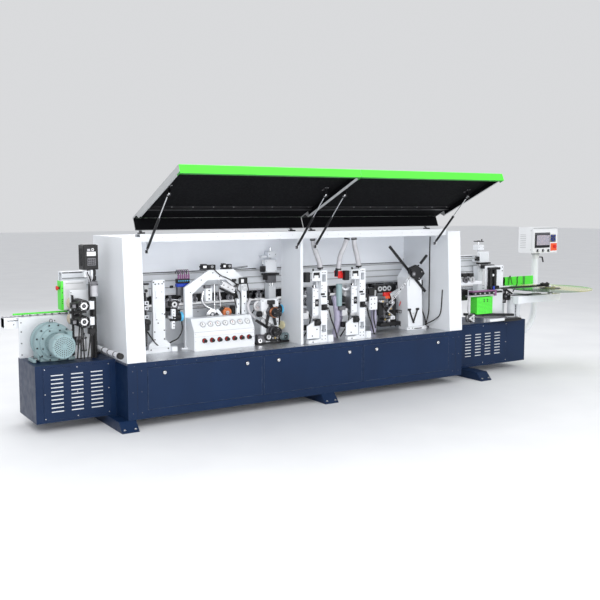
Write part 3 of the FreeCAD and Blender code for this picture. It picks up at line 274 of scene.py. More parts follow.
def clear_tray(name):
    """Smoked acrylic whose colour runs across the tray from dark green through a pale yellow band to bright
    green, with fine wipe marks.
    """
    material, tree, surface, place = shader(name)
    split = tree.nodes.new("ShaderNodeSeparateXYZ")
    tree.links.new(place, split.inputs[0])
    low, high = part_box("tape_tray")
    across = ranged(tree, split.outputs["X"], 0.0, 1.0, low.x, high.x)
    ramp = tree.nodes.new("ShaderNodeValToRGB")
    stops = ramp.color_ramp.elements
    stops[0].position = 0.1
    stops[0].color = (0.008, 0.075, 0.03, 1)
    stops[1].position = 0.95
    stops[1].color = (0.2, 0.62, 0.1, 1)
    for position, colour in ((0.38, (0.09, 0.26, 0.07, 1)), (0.52, (0.75, 0.7, 0.3, 1)),
                             (0.78, (0.8, 0.82, 0.4, 1))):
        ramp.color_ramp.elements.new(position).color = colour
    tree.links.new(across, ramp.inputs["Fac"])
    wiped = noise(tree, place, 30, 5, (1, 7, 1))
    base = mixed(tree, ranged(tree, wiped, 0.0, 0.18), ramp.outputs["Color"], (0.9, 0.95, 0.85))
    tree.links.new(base, surface.inputs["Base Color"])
    tree.links.new(ranged(tree, wiped, 0.1, 0.28), surface.inputs["Roughness"])
    surface.inputs["Transmission Weight"].default_value = 0.45
    surface.inputs["IOR"].default_value = 1.49
    return material


def screen(name):
    """A lit operator screen with generic bars and fields, and no lettering."""
    material, tree, surface, place = shader(name)
    low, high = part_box("hmi_head")
    split = tree.nodes.new("ShaderNodeSeparateXYZ")
    tree.links.new(place, split.inputs[0])
    across = ranged(tree, split.outputs["X"], 0.0, 1.0, low.x, high.x)
    up = ranged(tree, split.outputs["Z"], 0.0, 1.0, low.z, high.z)
    grid = tree.nodes.new("ShaderNodeCombineXYZ")
    tree.links.new(across, grid.inputs["X"])
    tree.links.new(up, grid.inputs["Y"])
    tiles = tree.nodes.new("ShaderNodeTexBrick")
    tiles.offset = 0.0
    tiles.inputs["Scale"].default_value = 14
    tiles.inputs["Mortar Size"].default_value = 0.035
    tiles.inputs["Color1"].default_value = (0.5, 0.42, 0.45, 1)
    tiles.inputs["Color2"].default_value = (0.3, 0.33, 0.42, 1)
    tiles.inputs["Mortar"].default_value = (0.09, 0.08, 0.1, 1)
    tree.links.new(grid.outputs["Vector"], tiles.inputs["Vector"])
    tree.links.new(tiles.outputs["Color"], surface.inputs["Base Color"])
    tree.links.new(tiles.outputs["Color"], surface.inputs["Emission Color"])
    surface.inputs["Emission Strength"].default_value = 0.35
    tree.links.new(ranged(tree, noise(tree, place, 80, 3), 0.1, 0.25),
                   surface.inputs["Roughness"])
    return material


WHITE = painted("white_paint", (0.76, 0.785, 0.82), 0.42, 0.022)
# A blue-tinted white for the inner back wall, lighter than the white paint: painted light that lifts the
# wall out of the hoods' shade.
INNER_PAINTED_LIGHT = painted("inner_wall_painted_light", (0.86, 0.89, 0.94), 0.5, 0.03)
NAVY = painted("navy_paint", (0.0045, 0.0185, 0.06), 0.36, 0.12, peel=700,
               peel_depth=0.00003, wear=(0.05, 0.08, 0.15), gloss=0.2,
               dust=(0.012, 0.024, 0.052))
GREEN = painted("green_paint", (0.085, 0.78, 0.045), 0.36, 0.05)
# A darker copy of the green paint: painted shade on green faces turned from the light, such as the hood
# lip's downward return, the lip's ends, the guard's holes and a strip on the infeed panel.
GREEN_SHADE = painted("green_painted_shade", (0.035, 0.28, 0.035), 0.45, 0.08)
GREY = painted("grey_edge_paint", (0.42, 0.43, 0.44), 0.45, 0.08)
LINER = plastic("foam_liner", (0.0014, 0.0016, 0.0026), 0.85, 260, 0.0006, 0.15, 0.12)
CAST = cast("motor_casting", (0.24, 0.345, 0.365))
BLACK_METAL = painted("black_metal", (0.006, 0.006, 0.0075), 0.34, 0.2, wear=(0.1, 0.1, 0.11),
                      gloss=0.4)
BLACK = plastic("black_plastic", (0.007, 0.007, 0.0085), 0.4)
RUBBER = plastic("rubber", (0.017, 0.016, 0.016), 0.72, 420, 0.0001)
STEEL = metal("steel", (0.62, 0.62, 0.64), 0.32, (1, 1, 14), 120)
ALLOY = metal("machined_alloy", (0.74, 0.75, 0.77), 0.36, (12, 1, 1), 140)
CHROME = metal("chrome", (0.86, 0.87, 0.89), 0.14, (1, 1, 1), 500, 0.000005)
DARK_STEEL = metal("dark_steel", (0.2, 0.2, 0.215), 0.42, (1, 12, 1), 130)
COPPER = metal("copper_part", (0.72, 0.28, 0.13), 0.36, (1, 1, 8), 150, 0.00002, (0.3, 0.12, 0.06))
BRASS = metal("brass_fitting", (0.78, 0.58, 0.25), 0.3, (1, 1, 6), 200)
RED = plastic("red_plastic", (0.62, 0.02, 0.018), 0.32)
ORANGE = plastic("orange_plate", (0.78, 0.1, 0.03), 0.4)
BLUE = plastic("blue_plastic", (0.018, 0.05, 0.42), 0.34)
CYAN = plastic("light_blue_cap", (0.09, 0.43, 0.7), 0.38)
VIOLET = plastic("violet_sleeve", (0.24, 0.1, 0.22), 0.45)
CREAM = plastic("cream_felt", (0.72, 0.66, 0.42), 0.85, 300, 0.0006)
HOSE = plastic("grey_hose", (0.5, 0.5, 0.53), 0.5, 500, 0.00005, 0.1)
LILAC_HOSE = plastic("lilac_hose", (0.4, 0.38, 0.5), 0.45, 500, 0.00005, 0.1)
DIAL = plastic("dial_face", (0.82, 0.83, 0.84), 0.28, 800, 0.000005, 0.03)
GLASS_BLACK = plastic("black_glass", (0.008, 0.009, 0.012), 0.16, 900, 0.000002)
HMI_WHITE = painted("hmi_white", (0.74, 0.75, 0.77), 0.38, 0.03)
CLOTH = cloth_wheel("buffing_cloth")
TRAY = clear_tray("tray_acrylic")
SCREEN = screen("operator_screen")


# ---------------------------------------------------------------- shaping

class Kit:
    """One shown piece, put together from bevelled blocks, turned parts and swept tubes."""

    def __init__(self, name, body="root", slot=None, replaces=()):
        """Start an empty piece that rides a body and may stand for CAD nodes."""
        self.name = name
        self.body = body
        self.slot = slot
        self.replaced = replaces
        self.mesh = bmesh.new()
        self.materials = []
        self.at = Matrix()

    def add(self, points, faces, material):
        """Corner points and faces in one material, moved by the present placement."""
        if material not in self.materials:
            self.materials.append(material)
        index = self.materials.index(material)
        corner = [self.mesh.verts.new(self.at @ Vector(point)) for point in points]
        made = [self.mesh.faces.new([corner[k] for k in face]) for face in faces]
        for face in made:
            face.material_index = index
        bmesh.ops.recalc_face_normals(self.mesh, faces=made)
        return self

    def box(self, low, high, material, bevel=1.5):
        """A block with chamfered edges."""
        low, high = ([min(a, b) for a, b in zip(low, high)], [max(a, b) for a, b in zip(low, high)])
        bevel = min([bevel] + [(b - a) * 0.3 for a, b in zip(low, high)])
        index = {}
        points = []
        for signs in product((0, 1), repeat=3):
            for axis in range(3):
                index[signs, axis] = len(points)
                points.append([
                    (high[k] if signs[k] else low[k])
                    + (0 if k == axis else (-bevel if signs[k] else bevel)) for k in range(3)])
        faces = [[index[signs, axis] for axis in range(3)]
                 for signs in product((0, 1), repeat=3)]
        for axis in range(3):
            u, v = (axis + 1) % 3, (axis + 2) % 3
            for sign in (0, 1):
                ring = []
                for a, b in ((0, 0), (1, 0), (1, 1), (0, 1)):
                    signs = [0, 0, 0]
                    signs[axis], signs[u], signs[v] = sign, a, b
                    ring.append(index[tuple(signs), axis])
                faces.append(ring)
            for a, b in product((0, 1), repeat=2):
                ends = []
                for c in (0, 1):
                    signs = [0, 0, 0]
                    signs[axis], signs[u], signs[v] = c, a, b
                    ends.append((index[tuple(signs), u], index[tuple(signs), v]))
                faces.append([ends[0][0], ends[1][0], ends[1][1], ends[0][1]])
        return self.add(points, faces, material)

    def turned(self, start, axis, profile, material, sides=28):
        """A shape turned about an axis. The profile holds (radius, distance) pairs."""
        start, axis = Vector(start), Vector(axis).normalized()
        side = axis.orthogonal().normalized()
        other = axis.cross(side)
        points, rings, faces = [], [], []
        for radius, along in profile:
            centre = start + axis * along
            if radius <= 0:
                rings.append([len(points)])
                points.append(centre)
                continue
            rings.append(list(range(len(points), len(points) + sides)))
            for k in range(sides):
                turn = 2 * math.pi * k / sides
                points.append(centre + (side * math.cos(turn) + other * math.sin(turn)) * radius)
        for one, two in zip(rings, rings[1:]):
            for k in range(sides):
                after = (k + 1) % sides
                if len(one) == 1 and len(two) > 1:
                    faces.append([one[0], two[k], two[after]])
                elif len(two) == 1 and len(one) > 1:
                    faces.append([one[k], one[after], two[0]])
                elif len(one) > 1:
                    faces.append([one[k], one[after], two[after], two[k]])
        return self.add(points, faces, material)

    def rod(self, start, end, radius, material, chamfer=1.0, sides=20):
        """A round bar with chamfered ends."""
        start, end = Vector(start), Vector(end)
        length = (end - start).length
        chamfer = min(chamfer, radius * 0.4, length * 0.3)
        profile = [(0, 0), (radius - chamfer, 0), (radius, chamfer), (radius, length - chamfer),
                   (radius - chamfer, length), (0, length)]
        return self.turned(start, end - start, profile, material, sides)

    def ring(self, start, axis, inner, outer, length, material, sides=28):
        """A tube end or a washer with chamfered rims."""
        edge = min(1.0, length * 0.25, (outer - inner) * 0.3)
        profile = [(inner, edge), (inner + edge, 0), (outer - edge, 0), (outer, edge),
                   (outer, length - edge), (outer - edge, length), (inner + edge, length),
                   (inner, length - edge), (inner, edge)]
        return self.turned(start, axis, profile, material, sides)

    def prism(self, outline, axis, start, end, material):
        """A plate with a corner outline across the two other axes."""
        u, v = [(1, 2), (0, 2), (0, 1)][axis]
        count = len(outline)
        points = []
        for level in (start, end):
            for first, second in outline:
                point = [0, 0, 0]
                point[axis], point[u], point[v] = level, first, second
                points.append(point)
        faces = [list(range(count)), list(range(count, 2 * count))]
        faces += [[k, (k + 1) % count, count + (k + 1) % count, count + k] for k in range(count)]
        return self.add(points, faces, material)

    def bolt(self, point, axis, radius=5, material=None, height=None):
        """A socket cap screw: a rounded head with a hexagon well."""
        material = material or BLACK_METAL
        height = height or radius
        profile = [(radius * 0.45, height * 0.55), (radius * 0.5, height), (radius * 0.85, height),
                   (radius, height * 0.8), (radius, 0)]
        self.turned(point, axis, [(0, height * 0.5)] + profile + [(0, 0)], material, 12)
        return self

    def hexagon(self, point, axis, radius, height, material):
        """A hexagon nut or screw head."""
        return self.turned(point, axis, [(0, 0), (radius, 0), (radius, height * 0.85),
                                         (radius * 0.88, height), (0, height)], material, 6)

    def tube(self, points, radius, material, sides=10, wave=0.0, pitch=6.0):
        """A tube swept along a smooth line through the points, ribbed if asked."""
        line = smooth_line([Vector(point) for point in points], pitch)
        return self.sweep(line, radius, material, sides, wave)

    def sweep(self, line, radius, material, sides=10, wave=0.0):
        """A tube whose rings sit on each point of a line."""
        points, faces = [], []
        normal = None
        for k, centre in enumerate(line):
            ahead = (line[min(k + 1, len(line) - 1)] - line[max(k - 1, 0)]).normalized()
            normal = ahead.orthogonal() if normal is None else normal - ahead * normal.dot(ahead)
            normal.normalize()
            other = ahead.cross(normal)
            size = radius * (1 - wave * (k % 2))
            for side in range(sides):
                turn = 2 * math.pi * side / sides
                points.append(centre + (normal * math.cos(turn) + other * math.sin(turn)) * size)
        for k in range(len(line) - 1):
            for side in range(sides):
                after = (side + 1) % sides
                faces.append([k * sides + side, k * sides + after,
                              (k + 1) * sides + after, (k + 1) * sides + side])
        last = (len(line) - 1) * sides
        faces.append(list(range(sides)))
        faces.append(list(range(last, last + sides)))
        return self.add(points, faces, material)

    def done(self, smooth=True):
        """Make the object, hang it on its body and hide the CAD nodes it stands for."""
        if smooth:
            for face in self.mesh.faces:
                face.smooth = True
            for edge in self.mesh.edges:
                edge.smooth = len(edge.link_faces) == 2 and edge.calc_face_angle(0) < SHARP
        bmesh.ops.scale(self.mesh, vec=(MM, MM, MM), verts=self.mesh.verts)
        data = bpy.data.meshes.new(self.name)
        self.mesh.to_mesh(data)
        self.mesh.free()
        for material in self.materials:
            data.materials.append(material)
        piece = bpy.data.objects.new(self.name, data)
        bpy.context.scene.collection.objects.link(piece)
        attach(piece, self.body)
        if self.replaced:
            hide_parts(*self.replaced)
        return piece


def smooth_line(points, pitch):
    """Points a pitch apart along a smooth line through the given ones."""
    padded = [points[0] * 2 - points[1]] + points + [points[-1] * 2 - points[-2]]
    line = []
    for a, b, c, d in zip(padded, padded[1:], padded[2:], padded[3:]):
        steps = max(2, int((c - b).length / pitch))
        for step in range(steps):
            t = step / steps
            line.append(0.5 * (2 * b + (c - a) * t + (2 * a - 5 * b + 4 * c - d) * t ** 2
                               + (3 * b - a - 3 * c + d) * t ** 3))
    return line + [points[-1]]


def circle(count, phase=0):
    """The cosine and sine of equal steps round a circle."""
    for k in range(count):
        angle = 2 * math.pi * (k + phase) / count
        yield math.cos(angle), math.sin(angle)


def border(low_x, low_z, high_x, high_z, width):
    """The four bars round a rectangle, each as its two corners."""
    return (((low_x, low_z), (high_x, low_z + width)), ((low_x, high_z - width), (high_x, high_z)),
            ((low_x, low_z), (low_x + width, high_z)), ((high_x - width, low_z), (high_x, high_z)))


def turn(axis, angle, pivot):
    """A placement turned by degrees about an axis through a point."""
    pivot = Vector(pivot)
    return (Matrix.Translation(pivot) @ Matrix.Rotation(math.radians(angle), 4, axis)
            @ Matrix.Translation(-pivot))


def finish_node(name, material, bevel=0.0012):
    """Give a CAD node its material and softened edges, leaving its mesh as it is."""
    item = nodes[name]
    item.data.materials.clear()
    item.data.materials.append(material)
    if bevel:
        weld = item.modifiers.new("Weld", "WELD")
        weld.merge_threshold = 0.00005
        soften = item.modifiers.new("Bevel", "BEVEL")
        soften.width = bevel
        soften.segments = 2
        soften.limit_method = "ANGLE"
        soften.angle_limit = math.radians(35)
        item.modifiers.new("Normals", "WEIGHTED_NORMAL").keep_sharp = True


# ---------------------------------------------------------------- shared fittings

def fins(kit, start, axis, length, inner, outer, material, count):
    """Cooling fins along a motor's body."""
    axis = Vector(axis).normalized()
    side = axis.orthogonal().normalized()
    other = axis.cross(side)
    for a, b in circle(count):
        out = side * a + other * b
        across = axis.cross(out)
        base = Vector(start)
        corners_of = []
        for along in (0, length):
            for reach in (inner, outer):
                for half in (-1.6, 1.6):
                    corners_of.append(base + axis * along + out * reach + across * half)
        kit.add(corners_of, [(0, 1, 3, 2), (4, 5, 7, 6), (0, 1, 5, 4), (2, 3, 7, 6),
                             (0, 2, 6, 4), (1, 3, 7, 5)], material)


def spindle(kit, start, axis, radius, length, body, cap, nose=True):
    """A small high-speed motor: rear cap with vent ring, body with bands, and its nose."""
    axis = Vector(axis).normalized()
    start = Vector(start)
    kit.turned(start, axis, [(0, 4), (radius * 0.3, 4), (radius * 0.34, 0), (radius * 0.62, 0),
                             (radius * 0.66, 5), (radius * 0.8, 5), (radius * 0.84, 0),
                             (radius * 0.94, 0), (radius, 5), (radius, length * 0.22),
                             (0, length * 0.22)], cap)
    kit.ring(start + axis * 1, axis, radius * 0.36, radius * 0.58, 3, ALLOY, 20)
    kit.turned(start + axis * length * 0.22, axis,
               [(0, 0), (radius * 0.93, 0), (radius * 0.93, length * 0.3),
                (radius * 0.97, length * 0.31), (radius * 0.97, length * 0.36),
                (radius * 0.93, length * 0.37), (radius * 0.93, length * 0.7),
                (radius, length * 0.71), (radius, length * 0.78), (0, length * 0.78)], body)
    if nose:
        kit.rod(start + axis * length, start + axis * (length + radius * 0.7), radius * 0.45, STEEL)
    for k in range(4):
        angle = math.pi / 4 + k * math.pi / 2
        side = axis.orthogonal().normalized()
        out = side * math.cos(angle) + axis.cross(side) * math.sin(angle)
        kit.bolt(start + out * radius * 0.73 + axis * 3, -axis, 3.2, STEEL, 3)


def air_cylinder(kit, start, end, size, rod_out=30):
    """A pneumatic cylinder: square barrel, end blocks, rod, fork and two push fittings."""
    start, end = Vector(start), Vector(end)
    axis = (end - start).normalized()
    length = (end - start).length
    kit.rod(start + axis * size * 0.3, end - axis * size * 0.3, size * 0.44, ALLOY, 1, 24)
    side = axis.orthogonal().normalized()
    other = axis.cross(side)
    turn_to = Matrix((side, other, axis)).transposed().to_4x4()
    before = kit.at.copy()
    kit.at = before @ Matrix.Translation(start) @ turn_to
    half = size / 2
    kit.box((-half, -half, 0), (half, half, size * 0.36), DARK_STEEL)
    kit.box((-half, -half, length - size * 0.36), (half, half, length), DARK_STEEL)
    for a, b in product((-1, 1), repeat=2):
        kit.bolt((a * half * 0.72, b * half * 0.72, length), (0, 0, 1), size * 0.1, STEEL, 3)
        kit.rod((a * half * 0.8, b * half * 0.8, 2), (a * half * 0.8, b * half * 0.8, length - 2),
                size * 0.06, STEEL, 0.5, 8)
    for along in (size * 0.18, length - size * 0.18):
        kit.rod((half, 0, along), (half + 8, 0, along), 4, BRASS, 1, 10)
        kit.rod((half + 7, 0, along), (half + 14, 0, along), 4.6, BLACK, 1, 12)
    kit.rod((0, 0, length), (0, 0, length + rod_out), size * 0.13, CHROME, 1, 14)
    kit.hexagon((0, 0, length + rod_out * 0.45), (0, 0, 1), size * 0.24, size * 0.16, STEEL)
    kit.box((-size * 0.22, -size * 0.16, length + rod_out - 4),
            (size * 0.22, size * 0.16, length + rod_out + size * 0.4), DARK_STEEL)
    kit.at = before


def set_dial(kit, point, axis, radius, length, top=None):
    """An adjusting knob with a counter window and a ribbed grip."""
    axis = Vector(axis).normalized()
    point = Vector(point)
    kit.rod(point, point + axis * length * 0.5, radius * 0.8, BLACK, 1, 20)
    profile = [(0, 0), (radius * 0.9, 0), (radius, 1.5), (radius, length * 0.45),
               (radius * 0.85, length * 0.5), (0, length * 0.5)]
    kit.turned(point + axis * length * 0.5, axis, profile, top or BLACK, 18)
    side = axis.orthogonal().normalized()
    other = axis.cross(side)
    for a, b in circle(10):
        out = side * a + other * b
        kit.rod(point + out * radius + axis * length * 0.55, point + out * radius
                + axis * length * 0.92, radius * 0.13, BLACK, 0.5, 6)


def wires(kit, starts, end, spread, material, radius=3.0, sag=30):
    """A bundle of thin harness leads between two fittings."""
    end = Vector(end)
    for k, start in enumerate(starts):
        start = Vector(start)
        aim = end + Vector(spread) * (k - (len(starts) - 1) / 2)
        middle = (start + aim) / 2 - Vector((0, 0, sag + 6 * k))
        kit.tube([start, (start * 2 + middle) / 3 - Vector((0, 0, sag * 0.2)), middle,
                  (aim * 2 + middle) / 3, aim], radius, material, 8, pitch=14)


# ---------------------------------------------------------------- cords

def spline_points(name, route):
    """A NURBS line through the route's control points, read back as points along it."""
    curve = bpy.data.curves.new(name, "CURVE")
    curve.dimensions = "3D"
    curve.resolution_u = 24
    spline = curve.splines.new("NURBS")
    spline.points.add(len(route) - 1)
    for point, place in zip(spline.points, route):
        point.co = (*place, 1)
    spline.order_u = 3
    spline.use_endpoint_u = True
    holder = bpy.data.objects.new(name, curve)
    bpy.context.scene.collection.objects.link(holder)
    bpy.context.view_layer.update()
    line = bpy.data.meshes.new_from_object(holder)
    points = [vertex.co.copy() for vertex in line.vertices]
    bpy.data.objects.remove(holder)
    return points


def evenly(points, pitch):
    """The same line cut into equal steps."""
    lengths = [0.0]
    for one, two in zip(points, points[1:]):
        lengths.append(lengths[-1] + (two - one).length)
    count = int(lengths[-1] / pitch)
    line = []
    position = 0
    for k in range(count + 1):
        target = lengths[-1] * k / count
        while position < len(points) - 2 and lengths[position + 1] < target:
            position += 1
        share = (target - lengths[position]) / (lengths[position + 1] - lengths[position])
        line.append(points[position].lerp(points[position + 1], min(1.0, share)))
    return line


HOSE_DIAMETER = 0.052
HOSE_ENDS = {
    "left_dust_hose": ((-0.081, 0.142, 1.577), (0.014, 0.154, 1.27)),
    "middle_dust_hose": ((0.322, 0.142, 1.577), (0.25, 0.192, 1.25)),
    "right_dust_hose": ((0.402, 0.142, 1.577), (0.472, 0.154, 1.27)),
}
HOSE_BENDS = {
    "left_dust_hose": ((0.07, 0.33, 0.23), (0.53, 0.83, 0.52), (0.92, 1, 0.79)),
    "middle_dust_hose": ((0.25, 0.12, 0.21), (0.86, 0.44, 0.49), (1, 0.8, 0.76)),
    "right_dust_hose": ((0.11, 0.33, 0.23), (0.57, 0.83, 0.52), (0.91, 1, 0.79)),
}


def dust_hose(name):
    """A limp ribbed hose from the beam down to its saw, on its own smooth route."""
    start, end = (Vector(place) for place in HOSE_ENDS[name])
    way = end - start
    route = [start]
    for share in HOSE_BENDS[name]:
        route.append(start + Vector(part * run for part, run in zip(share, way)))
    route.append(end)
    points = spline_points(name + "_line", route)
    kit = Kit(name + "_ribbed", slot="hose_plastic", replaces=(name,))
    line = [point / MM for point in evenly(points, 0.0035)]
    kit.sweep(line, HOSE_DIAMETER / 2 / MM, HOSE, 28, 0.13)
    piece = kit.done(smooth=False)
    for face in piece.data.polygons:
        face.use_smooth = True


for hose_name in HOSE_ENDS:
    dust_hose(hose_name)


# ---------------------------------------------------------------- camera, light and floor

CAMERA_PLACE = (-4.588, -6.724, 1.862)
CAMERA_YAW = 32.42
CAMERA_DOWN = 6.117
CAMERA_LENS = 51.5


def camera():
    """The photographer's place: left of the machine, a little above its beam."""
    data = bpy.data.cameras.new("camera")
    data.lens = CAMERA_LENS
    data.sensor_width = 36
    data.clip_end = 200
    item = bpy.data.objects.new("camera", data)
    item.location = CAMERA_PLACE
    yaw, pitch = math.radians(CAMERA_YAW), math.radians(CAMERA_DOWN)
    ahead = Vector((math.sin(yaw) * math.cos(pitch), math.cos(yaw) * math.cos(pitch),
                    -math.sin(pitch)))
    item.rotation_euler = ahead.to_track_quat("-Z", "Y").to_euler()
    bpy.context.scene.collection.objects.link(item)
    bpy.context.scene.camera = item


def lamp(name, place, aim, size, power, colour=(1, 1, 1)):
    """A soft rectangular lamp aimed at a point."""
    data = bpy.data.lights.new(name, "AREA")
    data.shape = "RECTANGLE"
    data.size, data.size_y = size
    data.energy = power
    data.color = colour
    item = bpy.data.objects.new(name, data)
    item.location = place
    item.rotation_euler = (Vector(aim) - Vector(place)).to_track_quat("-Z", "Y").to_euler()
    bpy.context.scene.collection.objects.link(item)


def studio():
    """A pale floor and plain soft light."""
    world = bpy.data.worlds.new("studio")
    world.use_nodes = True
    background = world.node_tree.nodes["Background"]
    background.inputs["Color"].default_value = (0.97, 0.98, 1, 1)
    background.inputs["Strength"].default_value = 0.72
    bpy.context.scene.world = world
    lamp("key_lamp", (-5.5, -6.5, 5.5), (-0.5, 0.2, 0.8), (5, 3.5), 330)
    lamp("fill_lamp", (4.5, -7.5, 3.6), (0.8, 0.2, 0.9), (5, 3), 170)
    lamp("top_lamp", (0, 0.6, 6.5), (0, 0.3, 0), (8, 4), 130)
    lamp("bay_lamp", (-2.2, -6.0, 1.2), (-0.2, 0.8, 1.15), (4, 1.6), 120)
    lamp("back_lamp", (1.5, 6.5, 4.5), (0, 0.8, 0.8), (7, 3), 160)
    floor, tree, surface, place = shader("studio_floor")
    tone = mixed(tree, ranged(tree, noise(tree, place, 1.5, 3), 0.0, 1.0), (0.8, 0.81, 0.83),
                 (0.84, 0.85, 0.865))
    tree.links.new(tone, surface.inputs["Base Color"])
    surface.inputs["Roughness"].default_value = 0.7
    data = bpy.data.meshes.new("floor")
    reach = 60
    data.from_pydata([(-reach, -reach, 0), (reach, -reach, 0), (reach, reach, 0),
                      (-reach, reach, 0)], [], [(0, 1, 2, 3)])
    data.materials.append(floor)
    item = bpy.data.objects.new("floor", data)
    bpy.context.scene.collection.objects.link(item)
    bpy.context.scene.view_settings.view_transform = "Standard"


camera()
studio()


# ---------------------------------------------------------------- CAD nodes and their finishes

FINISHES = {
    "main_base": (NAVY, 0.0, "navy_paint"), "deck_plate": (ALLOY, 0.0012, None),
    "feet": (NAVY, 0.003, "navy_paint"), "left_end_box": (NAVY, 0.0, "navy_paint"),
    "right_end_box": (NAVY, 0.0, "navy_paint"), "vent_panels": (NAVY, 0.0, "navy_paint"),
    "left_door": (NAVY, 0.001, None), "middle_door": (NAVY, 0.001, None),
    "right_door": (NAVY, 0.001, None),
    "left_tower": (WHITE, 0.004, "white_paint"), "right_tower": (WHITE, 0.004, "white_paint"),
    # The rear cover takes the lightened inner-wall white: painted light in the hoods' shade.
    "top_beam": (WHITE, 0.0015, "white_paint"), "rear_cover": (INNER_PAINTED_LIGHT, 0.001, None),
    "partition": (WHITE, 0.002, None), "left_strut_tubes": (BLACK_METAL, 0.0, None),
    "right_strut_tubes": (BLACK_METAL, 0.0, None), "left_strut_rods": (CHROME, 0.0, None),
    "right_strut_rods": (CHROME, 0.0, None), "conveyor_beam": (WHITE, 0.0015, None),
    "conveyor_chain": (DARK_STEEL, 0.001, None), "pressure_beam": (WHITE, 0.0, "white_paint"),
    "pressure_rollers": (DARK_STEEL, 0.0, None), "lifting_columns": (WHITE, 0.0015, None),
    "scraping_frame": (WHITE, 0.002, None), "corner_frame": (WHITE, 0.003, None),
    "pneumatic_panel": (WHITE, 0.003, None), "left_saw_frame": (WHITE, 0.0015, None),
    "right_saw_frame": (WHITE, 0.0015, None),
    "left_saw_carriage": (ALLOY, 0.0012, None), "right_saw_carriage": (ALLOY, 0.0012, None),
    "glue_pillar": (WHITE, 0.003, None), "pressing_arm": (BLACK_METAL, 0.0015, None),
    "outfeed_plate": (WHITE, 0.002, None), "buffing_stand": (WHITE, 0.0015, None),
    "switch_box": (BLACK, 0.003, "black_plastic"), "outfeed_control_box": (WHITE, 0.002, None),
    "infeed_plate": (WHITE, 0.002, None), "tray_beam": (WHITE, 0.003, None),
    "tape_tray": (TRAY, 0.0, "tray_acrylic"), "hmi_post": (WHITE, 0.0, "white_paint"),
    "hmi_emergency_stop": (RED, 0.0015, "red_plastic"),
    "clipped_cables": (RUBBER, 0.0, None),
}
for node_name, (node_material, node_bevel, node_slot) in FINISHES.items():
    finish_node(node_name, node_material, node_bevel)
for lock_name in nodes:
    if lock_name.endswith("_lock"):
        finish_node(lock_name, CHROME, 0.0008)


# ---------------------------------------------------------------- hoods

